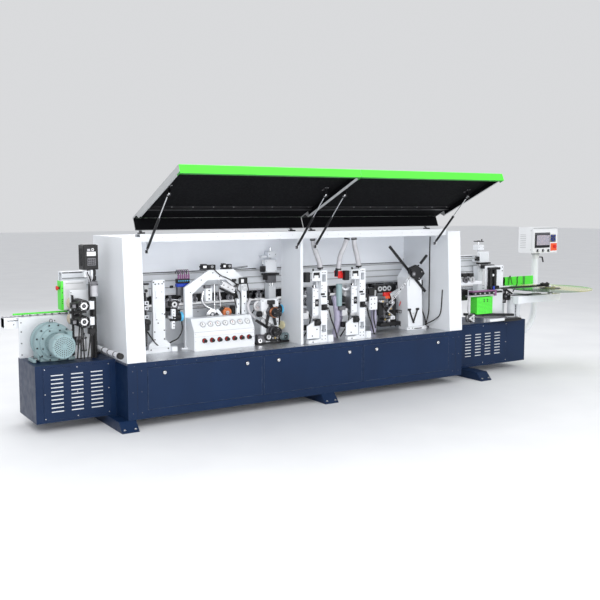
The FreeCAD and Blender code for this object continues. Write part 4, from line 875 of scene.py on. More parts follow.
def hood(side, strut_places):
    """A hood in its shop finish: green skin and lip, grey flanges, foam liner, stiffener."""
    hinge = Vector(joints[f"{side}_hood_hinge"]["pos_m"]) / MM
    low, high = corners(f"{side}_hood")
    left, right = low.x, high.x
    local = (Matrix.Translation((0, hinge.y, hinge.z))
             @ Matrix.Rotation(math.radians(180 - HOOD_SLOPE), 4, "X"))
    reach, deep, lip, side_height = HOOD_REACH, HOOD_DEPTH, HOOD_LIP, HOOD_SIDE
    kit = Kit(f"{side}_hood_skin", f"{side}_hood_body", "green_paint", (f"{side}_hood",))
    kit.at = local
    kit.box((left, 3, -deep), (right, reach, 1.6 - deep), GREEN, 0.6)
    kit.box((left, reach - 2.4, -deep + 0.5), (right, reach, lip - deep), GREEN, 1.0)
    # The lip's return flange in darker green: painted shade on its downward face.
    kit.box((left + 2, reach - 26, lip - deep - 2), (right - 2, reach - 2.2, lip - deep),
            GREEN_SHADE, 0.6)
    kit.box((left, 0, -deep), (right, 3, -14), GREY, 0.8)
    kit.box((left + 2, 0.2, -16), (right - 2, 8, -14), GREY, 0.6)
    flange = [(0, -deep), (reach - 2.4, -deep), (reach - 2.4, side_height - deep),
              (HOOD_NOTCH_FAR, side_height - deep), (HOOD_NOTCH_NEAR, HOOD_NOTCH_LOW),
              (0, HOOD_NOTCH_LOW)]
    for edge in (left, right - 2.2):
        kit.prism(flange, 0, edge, edge + 2.2, GREY)
        # The flange ends beside the lip in darker green: painted shade.
        kit.box((edge, reach - 60, side_height - deep), (edge + 2.2, reach - 2.4,
                                                         lip - deep), GREEN_SHADE, 0.5)
    for edge, inward in ((left + 2.2, 1), (right - 2.2, -1)):
        kit.box((edge, 150, side_height - deep - 1.5),
                (edge + inward * 15, reach - 30, side_height - deep), GREY, 0.6)
    kit.done()
    kit = Kit(f"{side}_hood_liner", f"{side}_hood_body", "black_plastic")
    kit.at = local
    kit.box((left + 3, 10, 1.8 - deep), (right - 3, reach - 4, 8 - deep), LINER, 2)
    kit.box((left + 3, 3.2, 8 - deep), (right - 3, 8, -18), LINER, 2)
    for edge, inward in ((left + 2.4, 1), (right - 2.4, -1)):
        kit.box((edge, 150, 8 - deep), (edge + inward * 3.5, reach - 30, side_height - deep - 2),
                LINER, 1)
    count = 6
    for k in range(count):
        seam = left + (right - left) * (k + 1) / (count + 1)
        kit.box((seam - 0.8, 12, 7.6 - deep), (seam + 0.8, reach - 6, 8.3 - deep), LINER, 0.2)
    kit.done()
    kit = Kit(f"{side}_hood_stiffener", f"{side}_hood_body", "black_metal")
    kit.at = local
    along = 235
    kit.box((left + 20, along, 8 - deep), (right - 20, along + 4, 30 - deep), BLACK_METAL, 0.8)
    kit.box((left + 20, along, 8 - deep), (right - 20, along + 34, 10.5 - deep), BLACK_METAL, 0.8)
    kit.box((left + 20, along - 18, 27.5 - deep), (right - 20, along + 2, 30 - deep), BLACK_METAL,
            0.8)
    for k in range(9):
        place = left + 60 + (right - left - 120) * k / 8
        kit.bolt((place, along + 20, 10.5 - deep), (0, 0, 1), 6, STEEL, 4)
    for place in strut_places:
        at = place + 9
        kit.box((at - 14, STRUT_MOUNT_ALONG - 34, 8 - deep),
                (at + 22, STRUT_MOUNT_ALONG + 34, 11 - deep), BLACK_METAL, 0.8)
        kit.box((at, STRUT_MOUNT_ALONG - 18, 8 - deep), (at + 6, STRUT_MOUNT_ALONG + 18, -48),
                BLACK_METAL, 1.5)
        kit.hexagon((at + 6, STRUT_MOUNT_ALONG, -STRUT_MOUNT_DEPTH), (1, 0, 0), 7.5, 5, STEEL)
        kit.ring((at - 1.4, STRUT_MOUNT_ALONG, -STRUT_MOUNT_DEPTH), (1, 0, 0), 4.2, 8.5, 1.4, STEEL, 16)
        for a, b in product((-1, 1), repeat=2):
            kit.bolt((at + 3 + a * 12 + (6 if a > 0 else -2), STRUT_MOUNT_ALONG + b * 26,
                      11 - deep), (0, 0, 1), 4, STEEL, 3)
    kit.done()
    return local


HOOD_STRUT_PLACES = {"left": (-1793, -292), "right": (-86, 1408)}
HOOD_HINGE_PLACES = {"left": (-1804, -295), "right": (-71, 1365)}
for hood_side in ("left", "right"):
    hood_local = hood(hood_side, HOOD_STRUT_PLACES[hood_side])
    kit = Kit(f"{hood_side}_hood_rings", f"{hood_side}_hood_body", "steel")
    kit.at = hood_local
    for ring_place in HOOD_HINGE_PLACES[hood_side]:
        kit.ring((ring_place - 15, 0, 0), (1, 0, 0), 5.05, 10, 30, DARK_STEEL)
        kit.box((ring_place - 14, 0.5, -46), (ring_place + 14, 3.5, -8), DARK_STEEL, 1)
        for bolt_side in (-8, 8):
            kit.bolt((ring_place + bolt_side, 3.4, -36), (0, 1, 0), 4, STEEL, 3)
    kit.done()


# ---------------------------------------------------------------- gas struts

def strut_trim():
    """End collars, sleeves and clips on the gas struts, in the struts' own direction."""
    for side in ("left", "right"):
        tube_joint = joints[f"{side}_strut_slide"]
        pivot = Vector(joints[f"{side}_strut_pivot"]["pos_m"]) / MM
        axis = Vector(tube_joint["axis"]).normalized()
        if axis.z < 0:
            axis = -axis
        for kind, body in (("tubes", f"{side}_strut_tube_body"), ("rods", f"{side}_strut_rod_body")):
            kit = Kit(f"{side}_strut_{kind}_trim", body, "black_metal")
            for place in HOOD_STRUT_PLACES[side]:
                base = Vector((place, pivot.y, pivot.z))
                if kind == "tubes":
                    kit.ring(base + axis * 39, axis, 5, 12.2, 10, DARK_STEEL)
                    kit.ring(base + axis * 386, axis, 5.4, 12.4, 13, BLACK_METAL)
                    kit.ring(base + axis * 60, axis, 10.8, 11.4, 90, BLACK)
                    kit.turned(base + Vector((-9.5, 0, 0)), (1, 0, 0),
                               [(0, 0), (6, 0), (6.5, 0.8), (6.5, 1.6), (0, 1.6)], STEEL, 16)
                else:
                    top = base + axis * 680.2
                    kit.ring(top - axis * 34, axis, 4.6, 8.5, 18, BLACK_METAL)
                    kit.hexagon(top - axis * 16, axis, 9, 6, STEEL)
            kit.done()


strut_trim()


# ---------------------------------------------------------------- cabinet trim

def beam_trim():
    """Hinge covers, a front gutter and screws on the top beam."""
    low, high = corners("top_beam")
    kit = Kit("beam_hinge_covers", slot="black_plastic")
    for places in HOOD_HINGE_PLACES.values():
        for place in places:
            kit.box((place - 30, 176, BEAM_TOP), (place - 16, 196, 1654), BLACK, 1.5)
            kit.box((place + 16, 176, BEAM_TOP), (place + 30, 196, 1654), BLACK, 1.5)
            kit.box((place - 26, 150, BEAM_TOP), (place + 26, 174, 1657), RUBBER, 4)
    for places in HOOD_STRUT_PLACES.values():
        for place in places:
            kit.hexagon((place + 15, STRUT_PIVOT.y, STRUT_PIVOT.z), (1, 0, 0), 8, 5, STEEL)
            kit.ring((place - 9.6, STRUT_PIVOT.y, STRUT_PIVOT.z), (1, 0, 0), 5.02, 8, 1.5, STEEL, 16)
    kit.done()
    kit = Kit("beam_front_lip", slot="white_paint")
    kit.box((low.x + 2, 83, 1637), (high.x - 2, 85.5, BEAM_TOP), WHITE, 0.8)
    kit.box((low.x + 2, 83, BEAM_BOTTOM), (high.x - 2, 85.5, 1583), WHITE, 0.8)
    for k in range(26):
        place = low.x + 70 + (high.x - low.x - 140) * k / 25
        kit.bolt((place, 84, 1611), (0, -1, 0), 3.4, STEEL, 1.8)
    kit.done()


def door_trim():
    """Folded rims and inner stiffeners on the doors, the rims in a lighter navy as a painted highlight
    along the folds.
    """
    # The rims get a lighter navy than the doors: a painted highlight along the folded edges. The paler
    # rubbed spots on them are wear.
    edge = painted("door_rim_painted_highlight", (0.02, 0.042, 0.1), 0.34, 0.1, wear=(0.14, 0.18, 0.27))
    for name in ("left", "middle", "right"):
        low, high = corners(f"{name}_door")
        low.z += HINGE_KNUCKLE
        kit = Kit(f"{name}_door_rim", f"{name}_door_body", "navy_paint")
        for a, b in border(low.x, low.z, high.x, high.z, RIM_WIDTH):
            kit.box((a[0], -1.2, a[1]), (b[0], 4, b[1]), edge, 0.5)
        kit.box((low.x + 30, 4, low.z + 40), (high.x - 30, 12, low.z + 46), NAVY, 1)
        kit.box((low.x + 30, 4, high.z - 70), (high.x - 30, 12, high.z - 64), NAVY, 1)
        kit.done()


def lock_trim():
    """A key slot and a dished face on each quarter-turn lock, and a rubber ring behind it."""
    for name in ("left", "middle", "right"):
        kit = Kit(f"{name}_door_lock_rings", f"{name}_door_body", "black_plastic")
        for side in ("left", "right"):
            low, high = corners(f"{name}_door_{side}_lock")
            centre = ((low.x + high.x) / 2, low.y, DOOR_LOCK_Z)
            kit.ring((centre[0], -1.2, centre[2]), (0, 1, 0), 15.3, 19.5, 1.2, BLACK)
            inner = Kit(f"{name}_door_{side}_lock_face", f"{name}_door_{side}_lock_body", "chrome")
            inner.turned((centre[0], low.y - 1.6, centre[2]), (0, 1, 0),
                         [(0, 1.2), (8, 1.2), (9, 0.2), (13, 0.2), (14.6, 1.6), (0, 1.6)], CHROME)
            inner.box((centre[0] - 6.5, low.y - 1.2, centre[2] - 1.6),
                      (centre[0] + 6.5, low.y + 0.1, centre[2] + 1.6), BLACK, 0.3)
            inner.done()
        kit.done()


def cabinet_trim():
    """Seams, screws and the plinth line of the navy cabinet."""
    low, high = corners("main_base")
    kit = Kit("cabinet_trim", slot="navy_paint")
    kit.box((low.x + 1, -1.6, 536), (high.x - 1, 0.4, 550), NAVY, 1)
    kit.box((low.x + 1, -1.6, 85), (high.x - 1, 0.4, 96), NAVY, 1)
    for place in (low.x + 84, high.x - 87):
        kit.box((place - 0.8, -0.8, 98), (place + 0.8, 0.6, 534), BLACK, 0.3)
        for level in (140, 320, 500):
            kit.bolt((place - 40, -0.2, level), (0, -1, 0), 4, DARK_STEEL, 2.2)
            kit.bolt((place + 40, -0.2, level), (0, -1, 0), 4, DARK_STEEL, 2.2)
    for k in range(20):
        place = low.x + 60 + (high.x - low.x - 120) * k / 19
        kit.bolt((place, -1.4, 543), (0, -1, 0), 3.2, DARK_STEEL, 1.6)
    kit.done()


def foot_bolts():
    """Levelling bolts and washers on the cross feet."""
    kit = Kit("foot_bolts", slot="steel")
    for centre in (-2030, 0, 2030):
        for side in (-1, 1):
            for y in (-56, 836):
                z = 85 * (1 - (abs(y) if y < 0 else y - 780) / 80)
                kit.hexagon((centre + side * 48, y, z - 2), (0, 0, 1), 9, 9, STEEL)
                kit.ring((centre + side * 48, y, z - 3), (0, 0, 1), 9, 15, 2.5, STEEL, 20)
    kit.done()


def deck_edge():
    """The deck's front edge and its row of screws."""
    kit = Kit("deck_edge", slot="steel")
    dlow, dhigh = corners("deck_plate")
    kit.box((dlow.x, -1.2, 549), (dhigh.x, 0.4, 569), NAVY, 0.5)
    for k in range(24):
        place = dlow.x + 230 + (dhigh.x - dlow.x - 460) * k / 23
        kit.ring((place, 26, 569.6), (0, 0, 1), 3.5, 6.5, 1.2, DARK_STEEL, 14)
        kit.bolt((place, 26, 569), (0, 0, 1), 3.4, BLACK_METAL, 2)
    kit.done()


def vent_trim():
    """Pale louvre vanes behind the slots, rims round them and screws at the panels' edges."""
    kit = Kit("vent_vanes", slot="white_paint")
    rim = Kit("vent_rims", slot="navy_paint")
    for start, length, columns, rows, width, pitch in (
            (-2644, 570, 3, 10, 105, 170), (1944, 740, 4, 8, 90, 150)):
        first = start + (length - (columns - 1) * pitch - width) / 2
        base = 108 + (440 - (rows - 1) * 34 - 10) / 2
        for column, row in product(range(columns), range(rows)):
            x = first + column * pitch
            z = base + row * 34
            kit.at = turn("X", -32, (0, 284.5, z + 5))
            kit.box((x + 1, 282.6, z - 1), (x + width - 1, 285, z + 13), WHITE, 0.6)
            kit.at = Matrix()
            rim.box((x - 2, 278.6, z + 10), (x + width + 2, 280.4, z + 13), NAVY, 0.6)
            rim.box((x - 2, 279.0, z - 2.4), (x + width + 2, 280.4, z - 0.4), NAVY, 0.5)
        for a, b in product((start + 12, start + length / 2, start + length - 12),
                            (120, 328, 536)):
            rim.bolt((a, 280, b), (0, -1, 0), 5, STEEL, 2.6)
        for a, b in border(start, 108, start + length, 548, 3):
            rim.box((a[0], 278.8, a[1]), (b[0], 280.6, b[1]), NAVY, 0.5)
    kit.done()
    rim.done()


beam_trim()
door_trim()
lock_trim()
cabinet_trim()
foot_bolts()
deck_edge()
vent_trim()


# ---------------------------------------------------------------- feed line

COLUMN_COLLAR = 6
COLUMN_WIDTH = 80
COLUMNS = (corners("lifting_columns")[0].x + COLUMN_COLLAR,
           corners("lifting_columns")[1].x - COLUMN_COLLAR - COLUMN_WIDTH)


def chain_pads():
    """The feed chain's pads: each a steel link with two rubber treads and pins."""
    low, high = corners("conveyor_chain")
    kit = Kit("feed_chain_pads", slot="rubber", replaces=("conveyor_chain",))
    count = 84
    pitch = (high.x - low.x) / count
    for k in range(count):
        x = low.x + k * pitch
        kit.box((x + 1.5, low.y, low.z), (x + pitch - 1.5, high.y, high.z - 3.2), DARK_STEEL, 1)
        kit.box((x + 4, low.y + 3, high.z - 3.4), (x + pitch - 4, high.y - 3, high.z), HOSE, 1)
        kit.ring((x + pitch * 0.5, low.y + 20, high.z - 2.4), (0, 0, 1), 3, 7, 2.6, BLACK, 12)
        kit.ring((x + pitch * 0.5, high.y - 20, high.z - 2.4), (0, 0, 1), 3, 7, 2.6, BLACK, 12)
    kit.done()


def track_trim():
    """The track's end covers, rows of screws, side rail and the apron's ribs."""
    low, high = corners("conveyor_beam")
    kit = Kit("track_trim", slot="white_paint")
    for x in (low.x, high.x - 26):
        kit.box((x, low.y + 8, 834), (x + 26, 898, 922), WHITE, 4)
    kit.box((low.x + 30, 787, 903), (high.x - 30, 790.5, 916), ALLOY, 1)
    kit.box((low.x + 30, 788, 893), (high.x - 30, 790.5, 898), BLACK_METAL, 0.6)
    for k in range(56):
        x = low.x + 80 + (high.x - low.x - 160) * k / 55
        kit.bolt((x, 789.4, 862), (0, -1, 0), 5, DARK_STEEL, 3)
        kit.bolt((x, 787.4, 909), (0, -1, 0), 3.2, DARK_STEEL, 1.8)
    for k in range(12):
        x = -1960 + 3620 * k / 11
        kit.box((x, 793, 320), (x + 5, 798, 810), WHITE, 1)
        kit.bolt((x - 30, 794, 700), (0, 1, 0), 6, DARK_STEEL, 3)
        kit.bolt((x - 30, 794, 360), (0, 1, 0), 6, DARK_STEEL, 3)
    kit.done()


def work_support_rail():
    """The support rail under the work."""
    kit = Kit("work_support_rail", slot="steel")
    kit.box((-2690, 872, 924), (2690, 897, 929), ALLOY, 1)
    kit.done()


def rollers():
    """Pressure rollers: rubber tyre, bright hub, bearing and spring post on each hanger."""
    kit = Kit("pressure_roller_set", "pressure_beam_body", "rubber", ("pressure_rollers",))
    count = 37
    places = [-2310 + (number + 1) * ROLLER_PITCH for number in range(count)]
    for x in places + [-360 + ROLLER_PITCH / 2 * k for k in range(5)]:
        front = 810
        kit.ring((x, front, ROLLER_LEVEL), (0, 1, 0), 15, 30, 46, HOSE, 28)
        kit.turned((x, front - 1.5, ROLLER_LEVEL), (0, 1, 0), [(0, 0), (7, 0), (8, 2), (14, 2.5), (17, 0.5),
                                                      (17, 3), (17, 40), (0, 40)], BLACK, 24)
        kit.ring((x, front - 3.2, ROLLER_LEVEL), (0, 1, 0), 3.5, 9, 3, ALLOY, 16)
        kit.box((x - 12, 805, 972), (x + 12, 810, 1062), DARK_STEEL, 1.5)
        kit.rod((x, 835, 1004), (x, 835, 1050), 5, CHROME)
        kit.ring((x, 835, 1022), (0, 0, 1), 6, 10, 22, STEEL, 14)
    kit.box((-2290, 801, 1034), (2640, 807, 1058), BLACK_METAL, 1.2)
    kit.box((-2290, 860, 951), (2640, 866, 1038), BLACK_METAL, 1.2)
    kit.box((-2290, 826, 1030), (2640, 846, 1042), DARK_STEEL, 1.2)
    kit.done()


def pressure_beam_trim():
    """Grey face lines as painted shade in the grooves, a hanging label rail, lifting nuts and end rims."""
    low, high = corners("pressure_beam")
    kit = Kit("pressure_beam_trim", "pressure_beam_body", "white_paint")
    kit.box((low.x + 4, 788.6, 1286), (high.x - 4, 790.6, 1297), DARK_STEEL, 0.6)
    kit.box((low.x + 4, 788.6, 1043), (high.x - 4, 790.6, 1056), ALLOY, 0.6)
    # Grey strips where the face has grooves: painted shade in them.
    for level in (1105, 1170, 1235):
        kit.box((low.x + 4, 797.4, level + 1), (high.x - 4, 799.6, level + 11), GREY, 0.4)
    for x in (low.x + 2, high.x - 6):
        kit.box((x, 792, 1288), (x + 4, 898, 1298), WHITE, 1)
        kit.box((x, 886, 1042), (x + 4, 898, 1290), WHITE, 1)
    for column in COLUMNS:
        centre = (column + 40, 730)
        kit.hexagon((*centre, 1280), (0, 0, 1), 22, 16, STEEL)
        kit.ring((*centre, 1217), (0, 0, 1), 10.4, 18, 13, BRASS, 24)
        for a in (-1, 1):
            kit.bolt((centre[0] + a * 30, 704, 1280), (0, 0, 1), 5, STEEL, 5)
        kit.box((column - 6, 776, 1222), (column + 86, 790, 1290), WHITE, 3)
    for k in range(34):
        x = low.x + 60 + (high.x - low.x - 120) * k / 33
        kit.bolt((x, 788.8, 1291.5), (0, -1, 0), 3, STEEL, 1.8)
    kit.done()


def column_trim():
    """Handwheel, gearbox, screw threads and cover plates of the lifting columns."""
    kit = Kit("column_trim", slot="steel")
    for column in COLUMNS:
        x, y = column + 40, 730
        for k in range(17):
            kit.ring((x, y, 1186 + k * 11), (0, 0, 1), 8, 10.9, 4.2, STEEL, 20)
        kit.box((column + 8, 686.5, 590), (column + 72, 690.5, 1150), WHITE, 2)
        for level in (620, 860, 1120):
            for a in (-1, 1):
                kit.bolt((x + a * 24, 686.6, level), (0, -1, 0), 4, DARK_STEEL, 2.5)
        kit.rod((x, y, 1430), (x, y, 1470), 9, CHROME)
        kit.box((column - 4, 682.6, 1376), (column + 84, 686, 1424), WHITE, 2)
        for a in (-1, 1):
            kit.bolt((x + a * 34, 683, 1400), (0, -1, 0), 4, DARK_STEEL, 2.5)
    x, y = COLUMNS[1] + 40, 730
    kit.ring((x, y, 1466), (0, 0, 1), 52, 60, 9, BLACK, 40)
    kit.rod((x, y, 1464), (x, y, 1480), 16, BLACK, 2)
    for a, b in circle(3):
        kit.rod((x, y, 1470), (x + 54 * a, y + 54 * b, 1470), 4.5,
                CHROME)
    kit.rod((x + 50, y, 1474), (x + 50, y, 1496), 7, BLACK, 3)
    kit.done()


chain_pads()
track_trim()
work_support_rail()
rollers()
pressure_beam_trim()
column_trim()


# ---------------------------------------------------------------- outfeed end

def gearmotor():
    """The cast drive: round gear housing, flange, finned motor body and fan cowl."""
    x, z = -2500, 735
    kit = Kit("feed_gearmotor", slot="grey_motor", replaces=("drive_gearmotor",))
    kit.turned((x, 424, z), (0, 1, 0),
               [(0, 0), (120, 0), (132, 6), (156, 8), (163, 14), (163, 30), (158, 36), (150, 40),
                (150, 120), (162, 128), (162, 160), (150, 180), (0, 180)], CAST, 48)
    for k in range(12):
        angle = 2 * math.pi * (k + 0.5) / 12
        a, b = math.cos(angle), math.sin(angle)
        kit.rod((x + a * 150, 428, z + b * 150), (x + a * 150, 446, z + b * 150), 12, CAST, 3, 16)
        kit.hexagon((x + a * 150, 428, z + b * 150), (0, -1, 0), 7.5, 7, BLACK_METAL)
    for side in (-1, 1):
        kit.box((x + side * 150 - 30, 440, ON_DECK), (x + side * 150 + 15 * side + 15, 590, 600),
                CAST, 5)
        kit.box((x + side * 128 - 9, 450, 590), (x + side * 128 + 9, 580, 690), CAST, 4)
        for y in (462, 568):
            kit.hexagon((x + side * 146, y, 600), (0, 0, 1), 10, 9, DARK_STEEL)
            kit.ring((x + side * 146, y, 599), (0, 0, 1), 8, 16, 3, STEEL, 20)
    kit.box((x - 118, 455, ON_DECK), (x + 118, 575, 612), CAST, 8)
    kit.turned((x, 506, z + 158), (0, 0, 1), [(0, 0), (20, 0), (20, 4), (12, 6), (0, 6)], CAST, 20)
    kit.ring((x, 500, z + 176), (0, 1, 0), 9, 16, 12, DARK_STEEL, 24)
    kit.turned((x, 398, z), (0, 1, 0), [(0, 0), (98, 0), (104, 4), (121, 5), (125, 9), (125, 24),
                                        (120, 27), (0, 27)], CAST, 44)
    for a, b in circle(8, 0.5):
        kit.hexagon((x + a * 112, 402, z + b * 112), (0, -1, 0), 7, 6,
                    BLACK_METAL)
    kit.turned((x, 244, z), (0, 1, 0), [(0, 0), (84, 0), (86, 2), (86, 150), (96, 156), (0, 156)],
               CAST, 40)
    fins(kit, (x, 250, z), (0, 1, 0), 138, 82, 92, CAST, 36)
    kit.box((x + 62, 268, z + 44), (x + 108, 352, z + 102), CAST, 6)
    kit.box((x + 60, 264, z + 98), (x + 110, 356, z + 106), CAST, 3)
    kit.rod((x + 106, 300, z + 60), (x + 122, 300, z + 60), 9, BLACK, 2, 16)
    cowl = [(0, 7), (22, 7), (26, 3), (84, 3), (93, 5), (99, 11), (102, 20), (102, 94), (98, 95),
            (0, 95)]
    kit.turned((x, 150, z), (0, 1, 0), cowl, CAST, 48)
    for ring_at, count in ((34, 12), (48, 18), (62, 24), (76, 30)):
        for k in range(count):
            angle = 2 * math.pi * (k + 0.5 * (ring_at % 4 == 0)) / count
            kit.rod((x + math.cos(angle) * ring_at, 151.6, z + math.sin(angle) * ring_at),
                    (x + math.cos(angle) * ring_at, 154.5, z + math.sin(angle) * ring_at), 4.2,
                    BLACK_METAL, 0.4, 8)
    for a, b in circle(8):
        kit.rod((x + a * 91, 153.5, z + b * 91),
                (x + a * 91, 156, z + b * 91), 3.6, BLACK_METAL, 0.4, 8)
    kit.rod((x, 151, z), (x, 158, z), 15, CAST, 2, 24)
    for a, b in ((-1, -1), (1, -1), (-1, 1), (1, 1)):
        kit.bolt((x + a * 70, 200, z + b * 70), (a, 0, b), 4, STEEL, 4)
    kit.done()


def buffing():
    """The two buffing motors with ringed end bells, terminal boxes and cloth wheels."""
    x = BUFFING_X
    kit = Kit("buffing_motor_pair", slot="black_metal", replaces=("buffing_motors",))
    for z in BUFFING_LEVELS.values():
        kit.turned((x, 315, z), (0, 1, 0),
                   [(0, 10), (15, 10), (17, 3), (30, 3), (33, 8), (41, 8), (44, 0), (49, 0),
                    (52, 5), (52, 38), (49, 40), (49, 150), (52, 152), (52, 189), (0, 189)],
                   BLACK_METAL, 40)
        kit.ring((x, 316, z), (0, 1, 0), 17, 31, 5, ALLOY, 32)
        kit.rod((x, 312, z), (x, 326, z), 8, DARK_STEEL, 1, 16)
        for a, b in circle(6):
            kit.bolt((x + a * 38, 322, z + b * 38), (0, -1, 0),
                     3.4, STEEL, 3)
        fins(kit, (x, 356, z), (0, 1, 0), 106, 47, 52, BLACK_METAL, 24)
        kit.box((-2218, 330, z - 30), (-2182, 420, z + 34), WHITE, 4)
        kit.box((-2221, 326, z - 33), (-2180, 331, z + 37), WHITE, 2)
        for a, b in product((-2214, -2188), (z - 26, z + 30)):
            kit.bolt((a, 326, b), (0, -1, 0), 3, STEEL, 2)
        kit.box((-2182, 336, z - 46), (-2170, 424, z + 42), BLACK, 3)
        kit.box((-2360, 350, z - 26), (-2326, 430, z + 26), BLACK, 3)
        kit.rod((-2372, 372, z + 4), (-2358, 372, z + 4), 13, BLACK_METAL, 2)
        kit.box((-2362, 346, z - 16), (-2330, 352, z + 14), DARK_STEEL, 2)
    kit.rod((-2196, 360, 780), (-2196, 360, 862), 16, DARK_STEEL, 2)
    kit.box((-2224, 334, 792), (-2170, 392, 842), BLACK, 4)
    kit.done()
    for name, z in BUFFING_LEVELS.items():
        kit = Kit(f"{name}_buffing_cloth", f"{name}_buffing_wheel_body", "cloth_wheel",
                  (f"{name}_buffing_wheel",))
        kit.rod((x, 500, z), (x, 619, z), 8.9, STEEL, 1, 24)
        for k in range(9):
            y = 554 + k * 6.5
            kit.turned((x, y, z), (0, 1, 0),
                       [(9, 0), (56 - 2 * (k % 2), 0.4), (61 - 2 * (k % 2), 3),
                        (56 - 2 * (k % 2), 5.6), (9, 6)], CLOTH, 40)
        kit.ring((x, 549, z), (0, 1, 0), 9, 26, 4.5, STEEL, 28)
        kit.ring((x, 612.5, z), (0, 1, 0), 9, 26, 4.5, STEEL, 28)
        kit.hexagon((x, 617, z), (0, 1, 0), 14, 6, STEEL)
        kit.done()
    kit = Kit("buffing_stand_trim", slot="black_metal")
    kit.box((-2342, 485, 960), (-2196, 505, 984), BLACK_METAL, 2)
    kit.box((-2324, 478, 600), (-2308, 505, 1120), BLACK_METAL, 2)
    air_cylinder(kit, (-2228, 470, 632), (-2228, 470, 752), 34, 26)
    kit.box((-2300, 470, 690), (-2250, 505, 760), DARK_STEEL, 3)
    set_dial(kit, (-2275, 470, 725), (0, -1, 0), 14, 34)
    for level in (600, 700, 820, 1120, 1140):
        for side in (-2322, -2150):
            kit.bolt((side, 505, level), (0, -1, 0), 5, DARK_STEEL, 4)
    wires(kit, [(-2300, 330, 1000), (-2292, 330, 996), (-2284, 330, 870)], (-2296, 360, 585),
          (26, -12, 0), RUBBER, 6, 10)
    wires(kit, [(-2200, 350, 860), (-2190, 350, 850)], (-2230, 330, 590), (30, -8, 0), RUBBER, 6,
          10)
    kit.done()


def drive_box():
    """The black drive unit above the buffing motors: bezel, blank plate, display and keys."""
    low = corners("switch_box")[0]
    x, y, z = low.x, low.y, 1340
    kit = Kit("drive_unit_front", slot="black_plastic")
    kit.box((x + 6, y - 6, z + 8), (x + 124, y + 2, z + 202), BLACK, 5)
    kit.box((x + 30, y - 8, z + 118), (x + 108, y - 5, z + 154), DIAL, 1)
    kit.box((x + 34, y - 8, z + 160), (x + 60, y - 5, z + 178), HOSE, 1)
    kit.ring((x + 82, y - 9, z + 172), (0, 1, 0), 6, 12, 4, DIAL, 20)
    kit.box((x + 34, y - 8, z + 36), (x + 106, y - 5, z + 100), DARK_STEEL, 2)
    for row, column in product(range(3), range(4)):
        kit.box((x + 40 + column * 16, y - 10, z + 44 + row * 17),
                (x + 52 + column * 16, y - 7, z + 54 + row * 17), BLACK, 1)
    for k in range(9):
        kit.box((x - 1.5, y + 20 + k * 10, z + 30), (x + 0.6, y + 24 + k * 10, z + 180),
                BLACK_METAL, 0.4)
    kit.box((x + 10, y + 8, z + 209), (x + 120, y + 112, z + 214), BLACK, 3)
    kit.done()
    kit = Kit("air_filter_set", slot="steel")
    kit.box((x + 10, y + 6, 1276), (x + 60, y + 60, 1332), WHITE, 4)
    kit.box((x + 64, y + 2, 1262), (x + 84, y + 40, 1340), WHITE, 3)
    kit.rod((x + 96, y + 4, 1296), (x + 96, y + 4, 1338), 12, BLACK, 3)
    kit.rod((x + 96, y + 4, 1248), (x + 96, y + 4, 1286), 14, BLACK_METAL, 3)
    kit.box((x + 46, y - 14, 1212), (x + 116, y + 36, 1242), DARK_STEEL, 4)
    kit.rod((x + 92, y + 8, 1110), (x + 92, y + 8, 1216), 29, HOSE, 6, 28)
    kit.ring((x + 92, y + 8, 1206), (0, 0, 1), 24, 33, 12, DARK_STEEL, 28)
    kit.rod((x + 92, y + 8, 1092), (x + 92, y + 8, 1112), 10, BLACK, 3)
    kit.rod((x + 58, y + 8, 1110), (x + 58, y + 8, 1216), 7, DARK_STEEL, 2)
    kit.rod((x + 46, y + 14, 1060), (x + 46, y + 14, 1216), 5, BLACK, 1)
    for k, bend in enumerate((0, 14, 30)):
        kit.tube([(x + 30 + k * 12, y + 20, 1342), (x + 22 + bend, y + 2, 1308),
                  (x + 40 + bend, y - 6, 1270), (x + 50 + k * 6, y + 4, 1236)], 4.5,
                 BLACK if k % 2 else HOSE, 10)
    for level in (1262, 1170, 1090, 1000, 900, 800, 700, 620):
        kit.ring((x + 108, y + 98, level), (0, 0, 1), 22.6, 27, 6, BLACK_METAL, 4)
    kit.done()


def outfeed_cabinet():
    """The small cabinet's green side frame, door seam, stop button, keyholes and gland."""
    low, high = corners("outfeed_control_box")
    x, y, z = low.x, low.y, high.z - 250
    kit = Kit("outfeed_cabinet_frame", slot="green_paint")
    kit.box((x - 3, y - 3, z - 2), (x + 2, high.y, z + 252), GREEN, 2)
    kit.box((x - 3, y - 5, z - 2), (x + 18, y + 1, z + 252), GREEN, 1.5)
    kit.box((x + 22, y - 4, z + 6), (high.x - 4, y + 1, z + 244), HMI_WHITE, 2)
    for level in (z + 60, z + 76, z + 92, z + 150, z + 190):
        kit.rod((x + 8, y - 7, level), (x + 8, y - 4, level), 4, BLACK, 1)
    kit.ring((high.x - 20, y - 7, z + 120), (0, 1, 0), 4, 10, 4, STEEL, 20)
    kit.box((x + 40, y - 6, z + 226), (high.x - 30, y - 3, z + 232), GREY, 1)
    kit.rod((x + 75, y + 60, z - 16), (x + 75, y + 60, z + 1), 11, BLACK, 2)
    kit.done()
    kit = Kit("outfeed_stop_button", slot="red_plastic")
    kit.rod((x - 10, y + 40, z + 190), (x - 2, y + 40, z + 190), 13, BLACK, 1)
    kit.turned((x - 34, y + 40, z + 190), (1, 0, 0),
               [(0, 0), (12, 0), (19, 3), (21, 9), (18, 15), (10, 17), (10, 26), (0, 26)], RED)
    kit.done()


